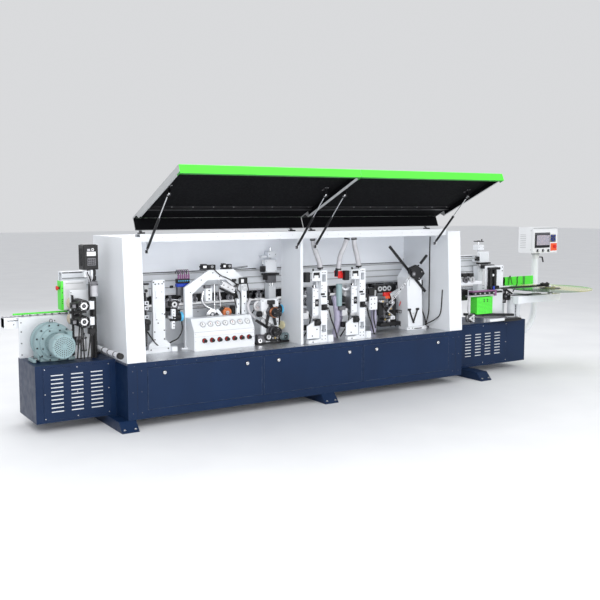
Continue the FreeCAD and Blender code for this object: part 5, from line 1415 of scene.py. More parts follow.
def outfeed_plate_trim():
    """Screws on the side plate and a guide strip over the track."""
    kit = Kit("outfeed_plate_trim", slot="white_paint")
    for x, z in product((-2690, -2400, -2060), (600, 700, 800, 880)):
        kit.bolt((x, 742, z), (0, -1, 0), 6, DARK_STEEL, 4)
    kit.box((-2709, 740.4, 905), (-2021, 743, 922), WHITE, 1)
    kit.box((-2722, 884, 931), (-2080, 890, 946), GREEN, 1)
    for k in range(10):
        x = -2660 + k * 64
        kit.rod((x, 780, 934), (x, 800, 934), 8, DARK_STEEL, 1)
    kit.done()


def hose_bar_trim():
    """The capped, ribbed hose bar and its foot."""
    kit = Kit("hose_bar_trim", slot="white_paint")
    kit.ring((-2100, -70, 650), (0, 1, 0), 4, 25.5, 44, RUBBER, 32)
    kit.turned((-2100, -74, 650), (0, 1, 0), [(0, 0), (20, 0), (24, 3), (24, 6), (0, 6)], RUBBER,
               32)
    for y in (60, 200, 330):
        kit.ring((-2100, y, 650), (0, 1, 0), 19.6, 23.5, 12, BLACK, 28)
    for k in range(28):
        kit.ring((-2100, -20 + k * 12.5, 650), (0, 1, 0), 19, 21.5, 5, HOSE, 24)
    kit.box((-2160, 590, ON_DECK), (-2040, 645, 590), BLACK_METAL, 3)
    kit.box((-2140, 600, 590), (-2064, 640, 690), BLACK_METAL, 5)
    kit.done()


gearmotor()
buffing()
drive_box()
outfeed_cabinet()
outfeed_plate_trim()
hose_bar_trim()


# ---------------------------------------------------------------- left bay stations

def screws(kit, places, y, radius=4.5, material=None):
    """Cap screws on a face that looks to the service side."""
    for x, z in places:
        kit.bolt((x, y, z), (0, -1, 0), radius, material or BLACK_METAL, radius * 0.8)


def buffer_unit(kit, x, y, z, face, turn_by=0):
    """A scraping head: round motor plate, guide rollers, screws and a feeler."""
    kit.at = turn("Y", turn_by, (x, y, z))
    kit.box((x - 42, y, z - 34), (x + 42, y + 26, z + 34), face, 3)
    kit.ring((x - 8, y - 9, z), (0, 1, 0), 11, 26, 9, ALLOY, 28)
    kit.ring((x - 8, y - 6, z), (0, 1, 0), 4, 11, 7, BLACK, 20)
    kit.rod((x + 30, y - 22, z - 24), (x + 30, y, z - 24), 9, STEEL, 1.5)
    kit.rod((x + 30, y - 24, z + 22), (x + 30, y, z + 22), 7, BLACK, 1.5)
    for a, b in product((-35, 12), (-27, 27)):
        kit.bolt((x + a, y, z + b), (0, -1, 0), 4, STEEL, 4)
    kit.rod((x - 34, y - 10, z + 44), (x + 46, y - 10, z + 44), 4, CHROME, 1)
    kit.at = Matrix()


def scraping_station():
    """The scraper's screwed plate, its feet and cover strips."""
    kit = Kit("scraping_station", slot="white_paint")
    screws(kit, [(-1616, 1206), (-1600, 1188), (-1567, 1190), (-1534, 1190), (-1518, 1206),
                 (-1545, 915), (-1516, 915), (-1578, 838), (-1612, 690), (-1520, 690),
                 (-1650, 600), (-1484, 602), (-1612, 760), (-1520, 770)], 383, 6)
    for share in (0.45, 0.75):
        z = 570 + share * 655
        kit.box((-1601, 378, z - 4), (-1531, 383.4, z + 66), WHITE, 2)
        screws(kit, [(-1592, z + 6), (-1540, z + 56)], 378, 4)
    kit.box((-1758, 350, ON_DECK), (-1672, 413, 606), WHITE, 4)
    kit.box((-1461, 352, ON_DECK), (-1405, 413, 618), WHITE, 4)
    kit.box((-1668, 378, 612), (-1466, 383, 634), WHITE, 2)
    for x in (-1740, -1700, -1430):
        kit.bolt((x, 366, 606), (0, 0, 1), 6, BLACK_METAL, 5)
    kit.done()


def scraping_heads():
    """The scraping heads on both sides of the plate, their motor and cables."""
    kit = Kit("scraping_heads", slot="black_metal")
    kit.box((-1728, 345, 640), (-1702, 430, 1120), BLACK_METAL, 3)
    kit.box((-1700, 390, 660), (-1676, 440, 1180), DARK_STEEL, 2)
    kit.box((-1718, 352, 1080), (-1676, 372, 1190), GREY, 3)
    kit.box((-1722, 342, 1190), (-1672, 380, 1204), BLACK, 3)
    for z in (1030, 985, 905):
        kit.box((-1720, 340, z - 16), (-1680, 362, z + 16), WHITE, 3)
        kit.rod((-1700, 332, z), (-1700, 342, z), 8, BLACK, 2)
        kit.bolt((-1686, 340, z + 8), (0, -1, 0), 3.4, STEEL, 3)
    set_dial(kit, (-1702, 352, 860), (0, -1, 0), 26, 44)
    set_dial(kit, (-1712, 340, 1140), (0, -1, 0), 13, 26)
    kit.box((-1732, 356, 780), (-1668, 396, 846), BLACK, 4)
    air_cylinder(kit, (-1712, 372, 640), (-1712, 372, 750), 34, 26)
    kit.box((-1478, 345, 985), (-1400, 392, 1030), BLACK_METAL, 3)
    buffer_unit(kit, -1425, 352, 1000, DARK_STEEL, 8)
    kit.rod((-1468, 360, 1160), (-1438, 360, 1160), 12, BLACK, 3)
    kit.box((-1460, 340, 870), (-1424, 372, 960), WHITE, 3)
    kit.box((-1462, 345, 780), (-1430, 372, 850), WHITE, 3)
    for z in (800, 830, 890, 915, 940):
        kit.bolt((-1444, 342, z), (0, -1, 0), 5, BLACK_METAL, 4)
    kit.box((-1424, 352, 850), (-1392, 400, 955), BLACK, 4)
    spindle(kit, (-1345, 380, 884), (-1, 0, 0), 44, 110, BLACK_METAL, CYAN)
    kit.rod((-1344, 380, 884), (-1352, 380, 884), 26, CYAN, 2)
    kit.rod((-1372, 380, 930), (-1372, 380, 946), 12, BLACK, 3)
    kit.tube([(-1352, 372, 840), (-1350, 372, 760), (-1390, 372, 690), (-1450, 380, 660),
              (-1475, 400, 640)], 6, RUBBER)
    wires(kit, [(-1700, 350, 780), (-1690, 350, 770)], (-1480, 420, 590), (10, 8, 0), RUBBER, 5,
          40)
    kit.box((-1560, 470, 930), (-1350, 520, 960), BLACK_METAL, 3)
    kit.box((-1500, 500, 860), (-1360, 560, 1010), DARK_STEEL, 4)
    kit.done()


def valve_manifold():
    """A blue and black bank of valves with six violet fittings and their hoses."""
    kit = Kit("valve_manifold", slot="steel")
    kit.box((-1330, 500, 1060), (-1236, 548, 1150), DARK_STEEL, 4)
    kit.box((-1338, 492, 1140), (-1206, 545, 1172), BLUE, 5)
    kit.box((-1334, 490, 1172), (-1210, 545, 1215), BLACK, 4)
    for k in range(6):
        x = -1322 + k * 21
        kit.rod((x, 500, 1212), (x, 500, 1256), 8, VIOLET, 3)
        kit.rod((x, 486, 1196), (x, 494, 1196), 6, CYAN, 2)
        kit.tube([(x, 500, 1255), (x + 6, 520, 1285), (x + 26, 590, 1290), (x + 34, 640, 1258)],
                 4, VIOLET if k % 2 else BLACK)
    kit.done()


def corner_station_valves():
    """Solenoid valves on the arch, a cable and two rods."""
    kit = Kit("corner_station_valves", slot="black_plastic")
    for x, length in ((-1120, 150), (-905, 105)):
        kit.box((x, 432, 1292), (x + length, 478, 1302), BLACK_METAL, 2)
        kit.box((x + 4, 432, 1302), (x + length * 0.4, 474, 1346), BLACK, 4)
        kit.box((x + length * 0.45, 428, 1302), (x + length - 4, 470, 1338), BLACK, 4)
        kit.box((x + length * 0.12, 427, 1310), (x + length * 0.34, 433, 1332), DIAL, 1)
        kit.ring((x + length * 0.72, 422, 1320), (0, 1, 0), 5, 12, 8, STEEL, 20)
        kit.rod((x - 12, 450, 1322), (x + 4, 450, 1322), 8, BLACK, 2)
    kit.tube([(-1010, 432, 1312), (-930, 425, 1240), (-840, 428, 1200), (-760, 428, 1150)], 5,
             RUBBER)
    kit.rod((-800, 450, 1300), (-520, 640, 1300), 3.5, STEEL, 1, 10)
    kit.rod((-800, 450, 1290), (-520, 640, 1290), 3.5, DARK_STEEL, 1, 10)
    kit.done()


def corner_station_trim():
    """Screws and feet of the arch, the slotted link and the right slide."""
    kit = Kit("corner_station_trim", slot="white_paint")
    screws(kit, [(-1262, 660), (-1262, 600), (-1235, 590), (-640, 1150), (-1000, 1262),
                 (-850, 1262), (-930, 1225), (-1120, 1200), (-1230, 1090)], 440, 5)
    kit.box((-1340, 400, ON_DECK), (-1232, 440, 590), WHITE, 3)
    for x in (-1320, -1256):
        kit.bolt((x, 415, 590), (0, 0, 1), 6, BLACK_METAL, 5)
    kit.box((-1080, 430, 1000), (-1010, 470, 1128), WHITE, 6)
    for z in (1022, 1060, 1100):
        kit.bolt((-1045, 430, z), (0, -1, 0), 7, BLACK_METAL, 5)
    kit.box((-1090, 424, 1120), (-1030, 462, 1150), DARK_STEEL, 3)
    kit.box((-720, 396, 860), (-664, 438, 1150), WHITE, 4)
    kit.box((-770, 400, 832), (-736, 436, 1010), WHITE, 4)
    kit.box((-736, 392, 1146), (-656, 430, 1206), BLACK, 5)
    kit.box((-728, 386, 1160), (-700, 394, 1194), DIAL, 1.5)
    kit.rod((-690, 380, 1176), (-690, 394, 1176), 12, BLACK_METAL, 3)
    kit.ring((-690, 392, 1112), (0, 1, 0), 9, 30, 8, CHROME, 28)
    kit.box((-800, 420, 1170), (-760, 446, 1196), BLACK, 3)
    screws(kit, [(-690, 1030), (-690, 960), (-690, 890), (-753, 960), (-753, 870)], 396, 5)
    kit.done()


def corner_station_arms():
    """The tilted slides, curved pipe, round and copper motors and cables."""
    kit = Kit("corner_station_arms", slot="steel")
    kit.at = turn("Y", 27, (-860, 420, 1085))
    kit.box((-948, 404, 1068), (-770, 430, 1086), BLACK_METAL, 3)
    kit.box((-946, 400, 1090), (-800, 424, 1150), ALLOY, 3)
    kit.rod((-960, 412, 1100), (-790, 412, 1100), 11, CHROME, 2)
    kit.rod((-960, 412, 1140), (-800, 412, 1140), 8, CHROME, 2)
    for x in (-930, -880, -830):
        kit.bolt((x, 400, 1118), (0, -1, 0), 5, BLACK_METAL, 4)
    kit.at = Matrix()
    kit.tube([(-1085, 470, 1090), (-1098, 470, 1010), (-1060, 470, 950), (-985, 470, 915)], 13,
             CHROME, 16)
    kit.rod((-970, 470, 1150), (-970, 470, 920), 8, CHROME, 1)
    kit.rod((-920, 480, 1190), (-900, 480, 920), 7, STEEL, 1)
    kit.turned((-1000, 452, 868), (0.25, 1, 0.1), [(0, 0), (34, 0), (40, 4), (54, 5), (56, 9),
                                                   (56, 30), (50, 36), (50, 90), (0, 90)], ALLOY)
    kit.ring((-1002, 447, 868), (0.25, 1, 0.1), 12, 26, 6, DARK_STEEL, 24)
    kit.turned((-850, 440, 880), (0, 1, 0), [(0, 0), (20, 0), (22, 3), (46, 3), (48, 7), (48, 70),
                                             (0, 70)], COPPER, 30)
    for a, b in circle(12):
        kit.rod((-850 + a * 35, 434, 880 + b * 35),
                (-850 + a * 35, 446, 880 + b * 35), 6, COPPER, 1.5, 10)
    kit.ring((-850, 432, 880), (0, 1, 0), 6, 18, 10, STEEL, 22)
    kit.box((-800, 430, 840), (-744, 500, 940), BLACK, 5)
    kit.box((-1100, 440, 800), (-760, 500, 834), BLACK_METAL, 4)
    for k, x in enumerate((-1060, -985, -905, -820)):
        kit.box((x, 434, 832), (x + 44, 470, 862 + 10 * (k % 2)), DARK_STEEL if k % 2 else BLACK, 3)
        kit.bolt((x + 22, 434, 848), (0, -1, 0), 6, STEEL, 4)
    kit.at = turn("Y", -38, (-930, 450, 900))
    kit.box((-1000, 440, 888), (-880, 462, 912), BLACK_METAL, 3)
    kit.box((-960, 436, 850), (-930, 458, 930), WHITE, 3)
    kit.at = Matrix()
    for k, z in enumerate((960, 1010, 1050)):
        kit.tube([(-760 + 12 * k, 420, 1150), (-800 + 20 * k, 410, 1100), (-780 + 26 * k, 405, z),
                  (-730 + 8 * k, 410, 850)], 5, RUBBER)
    kit.tube([(-740, 410, 850), (-700, 405, 815), (-620, 400, 850), (-575, 400, 905)], 6, RUBBER)
    kit.tube([(-660, 400, 1160), (-640, 400, 1060), (-650, 400, 940), (-600, 400, 830)], 5, RUBBER)
    kit.done()


def pressure_gauges():
    """Seven gauges on the panel's slope and the panel's seams."""
    kit = Kit("pressure_gauges", slot="white_paint")
    slope = math.degrees(math.atan2(70, 115))
    for k in range(7):
        x = FIRST_GAUGE + k * GAUGE_PITCH
        kit.at = turn("X", -slope, (x, 296, 803))
        kit.ring((x, 284, 803), (0, 1, 0), 21, 27, 13, ALLOY, 32)
        kit.rod((x, 289, 803), (x, 296, 803), 22, DIAL, 1, 32)
        kit.box((x - 1.6, 287.4, 800), (x + 1.6, 289, 818), RED if k % 3 else BLACK, 0.5)
        kit.ring((x, 286.6, 803), (0, 1, 0), 1.4, 4, 2.6, BLACK, 14)
        for mark in range(7):
            angle = math.radians(210 - mark * 40)
            kit.box((x + math.cos(angle) * 17 - 1, 288, 803 + math.sin(angle) * 17 - 1),
                    (x + math.cos(angle) * 17 + 1, 289.2, 803 + math.sin(angle) * 17 + 1), BLACK,
                    0.2)
        kit.at = Matrix()
    kit.box((-1280, 260.6, 741), (-660, 262.4, 744), GREY, 0.4)
    kit.box((-1280, 260.6, 700), (-660, 262, 701.6), GREY, 0.3)
    for x, z in product((-1268, -672), (584, 660, 728)):
        kit.bolt((x, 262, z), (0, -1, 0), 4, STEEL, 3)
    kit.done()


def regulator_knobs():
    """Seven black and red regulator knobs below the gauges."""
    kit = Kit("regulator_knobs", slot="black_plastic")
    for k in range(7):
        x = FIRST_GAUGE + k * GAUGE_PITCH
        kit.ring((x, 256, 662), (0, 1, 0), 12, 23, 6, BLACK, 26)
        kit.ring((x, 250, 662), (0, 1, 0), 12, 17, 7, RED, 26)
        set_dial(kit, (x, 258, 662), (0, -1, 0), 15, 34)
    kit.done()


def trim_station_front():
    """The trimming motors, rails, levers and caps."""
    kit = Kit("trim_station_front", slot="steel", replaces=("trim_unit",))
    kit.box((-560, 300, ON_DECK), (-370, 330, 1000), WHITE, 3)
    for z, cap in ((880, COPPER), (699, DARK_STEEL)):
        spindle(kit, (-465, 152, z), (0, 1, 0), 46, 190, BLACK_METAL, BLACK_METAL, False)
        kit.ring((-465, 200, z), (0, 1, 0), 44, 51, 26, cap, 36)
        kit.ring((-465, 250, z), (0, 1, 0), 44, 50, 40, DARK_STEEL, 36)
        fins(kit, (-465, 205, z), (0, 1, 0), 40, 46, 51, BLACK, 20)
    kit.ring((-575, 330, 935), (0, 1, 0), 30, 52, 16, ALLOY, 36)
    kit.ring((-575, 326, 935), (0, 1, 0), 8, 28, 10, STEEL, 28)
    kit.rod((-605, 300, 862), (-560, 300, 862), 28, BLACK, 4)
    kit.rod((-548, 292, 868), (-530, 292, 868), 24, DIAL, 3)
    kit.tube([(-640, 380, 990), (-668, 372, 940), (-650, 360, 870), (-600, 350, 820)], 15, HOSE,
             14, 0.08)
    for side in (-1, 1):
        kit.at = turn("Y", side * 14, (-468, 300, 960))
        kit.box((-480, 268, 740), (-456, 296, 985), BLACK_METAL, 4)
        kit.at = Matrix()
    kit.box((-500, 262, 950), (-430, 300, 990), BLACK, 4)
    kit.rod((-430, 330, 905), (-372, 330, 905), 18, BLACK_METAL, 3)
    spindle(kit, (-318, 330, 892), (-1, 0, 0), 46, 84, BLACK_METAL, CYAN)
    kit.rod((-350, 330, 938), (-350, 330, 956), 14, BLACK, 3)
    kit.tube([(-340, 326, 850), (-345, 326, 790), (-352, 322, 740)], 7, RUBBER)
    kit.turned((-262, 420, 722), (-1, -0.4, 0), [(0, 0), (38, 0), (42, 3), (42, 14), (38, 17),
                                                 (0, 17)], CREAM, 36)
    kit.box((-620, 290, ON_DECK), (-360, 400, 586), BLACK_METAL, 2)
    kit.at = turn("Y", 33, (-520, 300, 740))
    kit.box((-640, 286, 728), (-420, 312, 752), BLACK_METAL, 3)
    kit.box((-600, 280, 752), (-470, 306, 772), ALLOY, 3)
    kit.rod((-640, 296, 790), (-440, 296, 790), 8, CHROME, 1)
    kit.at = Matrix()
    kit.box((-610, 282, 586), (-520, 340, 664), DARK_STEEL, 5)
    kit.turned((-500, 268, 640), (0, 1, 0), [(0, 0), (34, 0), (40, 5), (40, 60), (0, 60)],
               BLACK_METAL, 28)
    kit.ring((-500, 262, 640), (0, 1, 0), 8, 24, 7, ALLOY, 26)
    kit.ring((-590, 272, 610), (0, 1, 0), 9, 22, 12, CHROME, 26)
    kit.box((-470, 276, 590), (-392, 330, 668), BLACK, 5)
    for k in range(3):
        kit.ring((-450 + k * 24, 270, 626), (0, 1, 0), 4, 9, 7, BRASS if k == 1 else STEEL, 18)
    kit.rod((-360, 335, 622), (-226, 335, 622), 34, DARK_STEEL, 5, 28)
    for k in range(7):
        kit.ring((-348 + k * 17, 335, 622), (1, 0, 0), 33, 38, 6, CAST, 28)
    kit.box((-345, 300, 573), (-240, 372, 588), BLACK_METAL, 3)
    kit.ring((-290, 296, 622), (0, 1, 0), 8, 20, 8, BLACK, 22)
    for start in ((-480, 290, 720), (-455, 290, 720), (-505, 290, 760)):
        kit.tube([start, (start[0] + 26, 272, 690), (start[0] + 60, 276, 640),
                  (start[0] + 110, 300, 590)], 5.5, RUBBER)
    screws(kit, [(-545, 985), (-385, 985), (-545, 780), (-385, 780)], 299, 4.5)
    kit.done()


def lifting_bracket():
    """The white lifting box over the trimming station, with its rods."""
    kit = Kit("lifting_bracket", "root", "white_paint")
    kit.box((-320, 640, 1222), (-182, 690, 1352), WHITE, 6)
    kit.box((-360, 640, 1372), (-300, 690, 1392), WHITE, 3)
    kit.rod((-352, 650, 1262), (-320, 650, 1262), 24, BLACK, 3)
    kit.rod((-420, 650, 1262), (-352, 650, 1262), 8, CHROME, 2)
    kit.box((-372, 628, 1232), (-318, 662, 1290), BLACK, 5)
    kit.box((-340, 630, 1196), (-160, 690, 1216), BLACK_METAL, 3)
    kit.box((-296, 632, 1120), (-196, 688, 1196), DARK_STEEL, 5)
    kit.box((-330, 634, 1150), (-292, 680, 1200), BLACK, 5)
    for x in (-262, -232):
        kit.rod((x, 650, 1086), (x, 650, 1122), 7, CHROME, 1)
    for x, z in product((-304, -198), (1238, 1336)):
        kit.bolt((x, 640, z), (0, -1, 0), 5, STEEL, 4)
    kit.done()


def wall_lines():
    """The back wall's lower flap over the pressure beam, with its dark lower edge."""
    kit = Kit("back_wall_flap", slot="white_paint")
    for start, end in ((-1850, -270), (-150, 1551)):
        # The flap takes the lightened inner-wall white: painted light in the hoods' shade.
        kit.box((start, 783, 1262), (end, 785, 1346), INNER_PAINTED_LIGHT, 0.6)
        kit.box((start, 783, 1254), (end, 786.4, 1263), BLACK_METAL, 0.6)
    kit.done()


scraping_station()
scraping_heads()
valve_manifold()
corner_station_valves()
corner_station_trim()
corner_station_arms()
pressure_gauges()
regulator_knobs()
trim_station_front()
lifting_bracket()
wall_lines()


# ---------------------------------------------------------------- right bay stations

def saw_front(name, x):
    """A saw station's fixed front: frame plates, windows, adjusters, lower motor and foot."""
    kit = Kit(f"{name}_saw_station", slot="white_paint")
    right = x + 72
    screws(kit, [(x + 14, 1246), (x + 32, 1246), (x + 50, 1246), (x + 10, 1120), (x + 10, 1092),
                 (x + 46, 1060), (x + 12, 690), (x + 50, 690), (x + 12, 602), (x + 50, 602),
                 (x + 12, 634), (x + 50, 634)], 88, 4.5)
    kit.box((x - 96, 92, 1166), (x - 2, 104, 1262), WHITE, 2)
    kit.box((x - 86, 88.5, 1196), (x - 14, 93, 1250), BLACK, 1.5)
    kit.box((x - 78, 86, 1170), (x - 30, 91, 1222), WHITE, 2)
    kit.box((x - 160, 108, 1158), (x - 108, 160, 1252), BLACK, 4)
    kit.rod((x - 70, 120, 1262), (x - 70, 120, 1286), 9, BLACK, 3)
    kit.rod((x + 8, 120, 1270), (x + 8, 120, 1284), 7, BLACK, 3)
    kit.box((x - 4, 80, 1030), (x + 40, 88.5, 1048), BLACK, 2)
    kit.box((x + 10, 78, 1010), (x + 56, 88.5, 1020), BLACK, 2)
    kit.box((x + 2, 70, 884), (x + 62, 89, 940), BLACK, 4)
    set_dial(kit, (x + 22, 70, 918), (0, -1, 0), 15, 30)
    set_dial(kit, (x + 48, 72, 900), (0, -1, 0), 11, 24)
    kit.rod((x + 70, 110, 850), (x + 88, 110, 850), 10, STEEL, 2)
    for z in (960, 920, 876, 840, 800):
        kit.box((x + 72, 100, z - 12), (x + 96, 130, z + 12), WHITE, 2)
        kit.bolt((x + 84, 100, z), (0, -1, 0), 5, BLACK_METAL, 4)
    kit.box((x + 74, 128, 930), (x + 150, 190, 1010), BLACK, 5)
    kit.rod((x + 100, 110, 1035), (x + 100, 190, 1035), 22, BLACK_METAL, 3)
    kit.box((x - 70, 84, 736), (x - 6, 120, 800), BLACK, 5)
    kit.turned((x - 38, 60, 768), (0, 1, 0), [(0, 0), (18, 0), (26, 4), (28, 10), (28, 30), (0, 30)],
               BLACK_METAL, 28)
    kit.box((x - 150, 100, 612), (x - 4, 116, 735), WHITE, 3)
    kit.prism([(x - 150, 735), (x - 4, 735), (x - 4, 790), (x - 60, 790)], 1, 100, 116, WHITE)
    screws(kit, [(x - 92, 640), (x - 40, 700)], 100, 6)
    kit.box((x - 160, 60, ON_DECK), (x - 40, 104, 604), WHITE, 3)
    kit.box((right + 2, 64, ON_DECK), (right + 60, 110, 640), WHITE, 4)
    kit.bolt((x - 110, 60, 588), (0, -1, 0), 6, BLACK_METAL, 5)
    kit.box((x - 170, 140, 800), (x - 104, 200, 880), ALLOY, 4)
    kit.rod((x - 190, 170, 900), (x - 190, 170, 1120), 30, CAST, 4, 26)
    kit.box((x - 204, 138, 860), (x - 130, 200, 902), DARK_STEEL, 4)
    kit.box((x - 160, 138, 690), (x - 90, 190, 740), BLACK, 4)
    for start in ((x + 96, 140, 930), (x + 106, 150, 930)):
        kit.tube([start, (x + 128, 132, 860), (x + 150, 130, 780), (x + 196, 140, 690),
                  (x + 236, 150, 590)], 7, RUBBER)
    kit.tube([(x - 110, 150, 860), (x - 96, 130, 800), (x - 130, 126, 700), (x - 196, 140, 600)],
             7, RUBBER)
    kit.done()
    low, high = corners(f"{name}_saw_carriage")
    kit = Kit(f"{name}_saw_carriage_front", f"{name}_saw_body", "steel")
    kit.box((x - 73, 119, 830), (x - 4, 132.5, 1094), WHITE, 2.5)
    for z in (850, 906, 962, 1018, 1074):
        kit.bolt((x - 60, 119, z), (0, -1, 0), 4.2, BLACK_METAL, 3)
    kit.bolt((x - 20, 119, 1064), (0, -1, 0), 4.2, BLACK_METAL, 3)
    kit.box((x - 48, 116, 920), (x - 8, 120, 990), BLACK, 1.5)
    kit.ring((x - 28, 115.2, 955), (0, 1, 0), 6, 14, 4, STEEL, 24)
    kit.rod((x - 38, 150, 1094), (x - 38, 150, 1128), 8, CHROME, 2)
    kit.rod((x - 38, 165, 1100), (x - 38, 165, 1120), 12, BLACK, 3)
    z = (low.z + high.z) / 2
    for k in range(3):
        kit.ring((x - 38, 250 + 30 * k, z), (0, 1, 0), 36.2, 39, 12, BLACK_METAL, 30)
    kit.ring((x - 38, high.y - 9, z), (0, 1, 0), 10, 30, 4, ALLOY, 30)
    for a, b in circle(20):
        kit.box((x - 38 + a * 64 - 3, high.y - 4.5, z + b * 64 - 3),
                (x - 38 + a * 64 + 3, high.y + 0.4, z + b * 64 + 3),
                STEEL, 0.6)
    kit.done()


def hose_clamps():
    """Black clamps at both ends of the dust hoses."""
    kit = Kit("hose_clamps", slot="black_plastic")
    for name, (start, end) in HOSE_ENDS.items():
        bends = HOSE_BENDS[name]
        way = Vector(end) - Vector(start)
        first = Vector(part * run for part, run in zip(bends[0], way)).normalized()
        last = Vector((1 - part) * run for part, run in zip(bends[-1], way)).normalized()
        kit.ring(Vector(start) / MM + first * 10, first, 25, 29.5, 13, BLACK, 36)
        kit.ring(Vector(end) / MM - last * 24, last, 25, 29.5, 13, BLACK, 36)
        kit.box(Vector(start) / MM + first * 13 + Vector((-8, -38, -5)),
                Vector(start) / MM + first * 13 + Vector((8, -26, 6)), DARK_STEEL, 2)
        kit.ring(Vector(start) / MM - Vector((0, 0, 3)), (0, 0, 1), 20, 36, 5, GREY, 32)
    kit.done()


def suction_nozzle():
    """The red nozzle round the spout of the middle hose."""
    spout = [part / MM for part in HOSE_ENDS["middle_dust_hose"][1][:2]]
    kit = Kit("suction_nozzle", slot="red_plastic")
    kit.ring((*spout, 1190), (0, 0, 1), 32.3, 38, 46, RED, 36)
    kit.ring((*spout, 1236), (0, 0, 1), 32.3, 41, 12, RED, 36)
    kit.box((222, 150, 1176), (300, 166, 1232), RED, 8)
    kit.box((205, 152, 1196), (226, 190, 1262), BLACK_METAL, 5)
    kit.done()


def lower_dust_hoses():
    """The lilac hoses from the saws down to the deck."""
    kit = Kit("lower_dust_hoses", slot="hose_plastic")
    for route in ([(214, 205, 1000), (232, 200, 900), (250, 205, 760), (244, 240, 590)],
                  [(700, 250, 960), (725, 250, 880), (745, 260, 740), (760, 290, 590)],
                  [(330, 320, 930), (350, 300, 820), (330, 300, 700), (300, 320, 590)]):
        kit.tube(route, 31, LILAC_HOSE, 24, 0.07, 5)
    kit.done()


def pressing_head():
    """The pressing rollers beside the glue pillar, their red guard and feed."""
    kit = Kit("pressing_head", slot="black_metal")
    kit.box((930, 500, 960), (1230, 560, 1052), BLACK_METAL, 5)
    for x in (1000, 1062, 1124):
        kit.ring((x, 486, 1008), (0, 1, 0), 12, 27, 14, ALLOY, 30)
        kit.ring((x, 484, 1008), (0, 1, 0), 4, 12, 12, BLACK, 20)
    kit.box((1040, 470, 925), (1168, 500, 968), RED, 5)
    kit.box((1060, 466, 900), (1120, 472, 930), ORANGE, 2)
    kit.box((905, 455, 890), (935, 520, 1000), GREY, 4)
    kit.at = turn("Y", -24, (1180, 450, 930))
    kit.box((1120, 446, 885), (1260, 456, 985), ALLOY, 3)
    kit.at = Matrix()
    kit.box((960, 420, 610), (1236, 560, 652), BLACK_METAL, 5)
    kit.box((1010, 432, 652), (1040, 540, 900), DARK_STEEL, 3)
    kit.box((1150, 432, 652), (1178, 540, 930), BLACK_METAL, 3)
    kit.box((940, 430, 730), (1010, 520, 860), BLACK, 6)
    for k, (x, z) in enumerate(((985, 880), (1040, 850), (1085, 800), (1120, 860), (1060, 740),
                                (1110, 700), (1000, 690), (1200, 760))):
        size = 20 + 5 * (k % 3)
        kit.box((x - size, 420 - 4 * k, z - size * 0.6), (x + size, 470, z + size * 0.6),
                (WHITE, BLACK, DARK_STEEL, WHITE, BLACK_METAL)[k % 5], 4)
        kit.ring((x, 412 - 4 * k, z), (0, 1, 0), 4, 10, 9, STEEL if k % 2 else BRASS, 20)
    air_cylinder(kit, (1080, 430, 652), (1080, 430, 720), 30, 22)
    for side, z in ((0, 740), (1, 700), (2, 820)):
        kit.at = turn("Y", 35 - 40 * side, (1090, 420, z))
        kit.box((1030, 404, z - 7), (1150, 420, z + 7), BLACK if side % 2 else ALLOY, 3)
        kit.at = Matrix()
    wires(kit, [(980, 420, 850), (1010, 415, 840), (1130, 415, 860)], (1180, 440, 600),
          (-60, 10, 0), RUBBER, 6, 30)
    kit.tube([(1290, 440, 1000), (1276, 420, 960), (1240, 415, 900), (1210, 420, 820)], 5, RED)
    kit.done()


def pre_mill_mechanism():
    """Links and blocks between and behind the two saws."""
    kit = Kit("pre_mill_mechanism", slot="steel")
    kit.box((330, 240, 1004), (410, 300, 1096), GREY, 6)
    kit.at = turn("Y", 25, (370, 230, 1050))
    kit.box((300, 222, 1036), (430, 246, 1064), ALLOY, 4)
    kit.at = Matrix()
    kit.rod((360, 214, 1010), (360, 300, 1010), 26, GREY, 4, 28)
    kit.box((330, 220, 930), (420, 290, 995), BLACK, 6)
    kit.box((196, 220, 900), (300, 280, 960), BLACK_METAL, 5)
    kit.rod((300, 250, 880), (380, 250, 880), 34, BLACK_METAL, 6, 28)
    kit.box((600, 150, 985), (672, 210, 1062), BLACK, 5)
    kit.box((600, 140, 840), (700, 158, 975), WHITE, 4)
    screws(kit, [(622, 950), (664, 950), (622, 900), (664, 905), (622, 862)], 140, 5)
    kit.tube([(672, 170, 1040), (716, 176, 1060), (725, 190, 980), (700, 200, 780),
              (740, 220, 640)], 6, RUBBER)
    kit.done()


def pillar_foot():
    """The pillar's foot plate and the V-shaped guide on its face."""
    kit = Kit("pillar_foot", slot="white_paint")
    kit.box((1196, 262, ON_DECK), (1462, 300, 606), WHITE, 4)
    kit.box((1290, 259.5, 582), (1392, 263, 592), BLACK, 1.2)
    for x in (1216, 1262, 1438):
        kit.bolt((x, 262, 594), (0, -1, 0), 5, BLACK_METAL, 4)
    kit.box((1240, 298.4, 1040), (1246, 300.4, 1130), GREY, 0.5)
    for side in (-1, 1):
        kit.at = turn("Y", side * 22, (1300, 292, 650))
        kit.box((1292, 284, 650), (1308, 298, 800), BLACK_METAL, 3)
        kit.at = Matrix()
        kit.box((1300 + side * 56 - 20, 284, 778), (1300 + side * 56 + 20, 300, 800), BLACK, 3)
    kit.rod((1300, 280, 650), (1300, 298, 650), 9, BLACK, 2)
    kit.bolt((1300, 298, 745), (0, -1, 0), 8, STEEL, 5)
    kit.done()


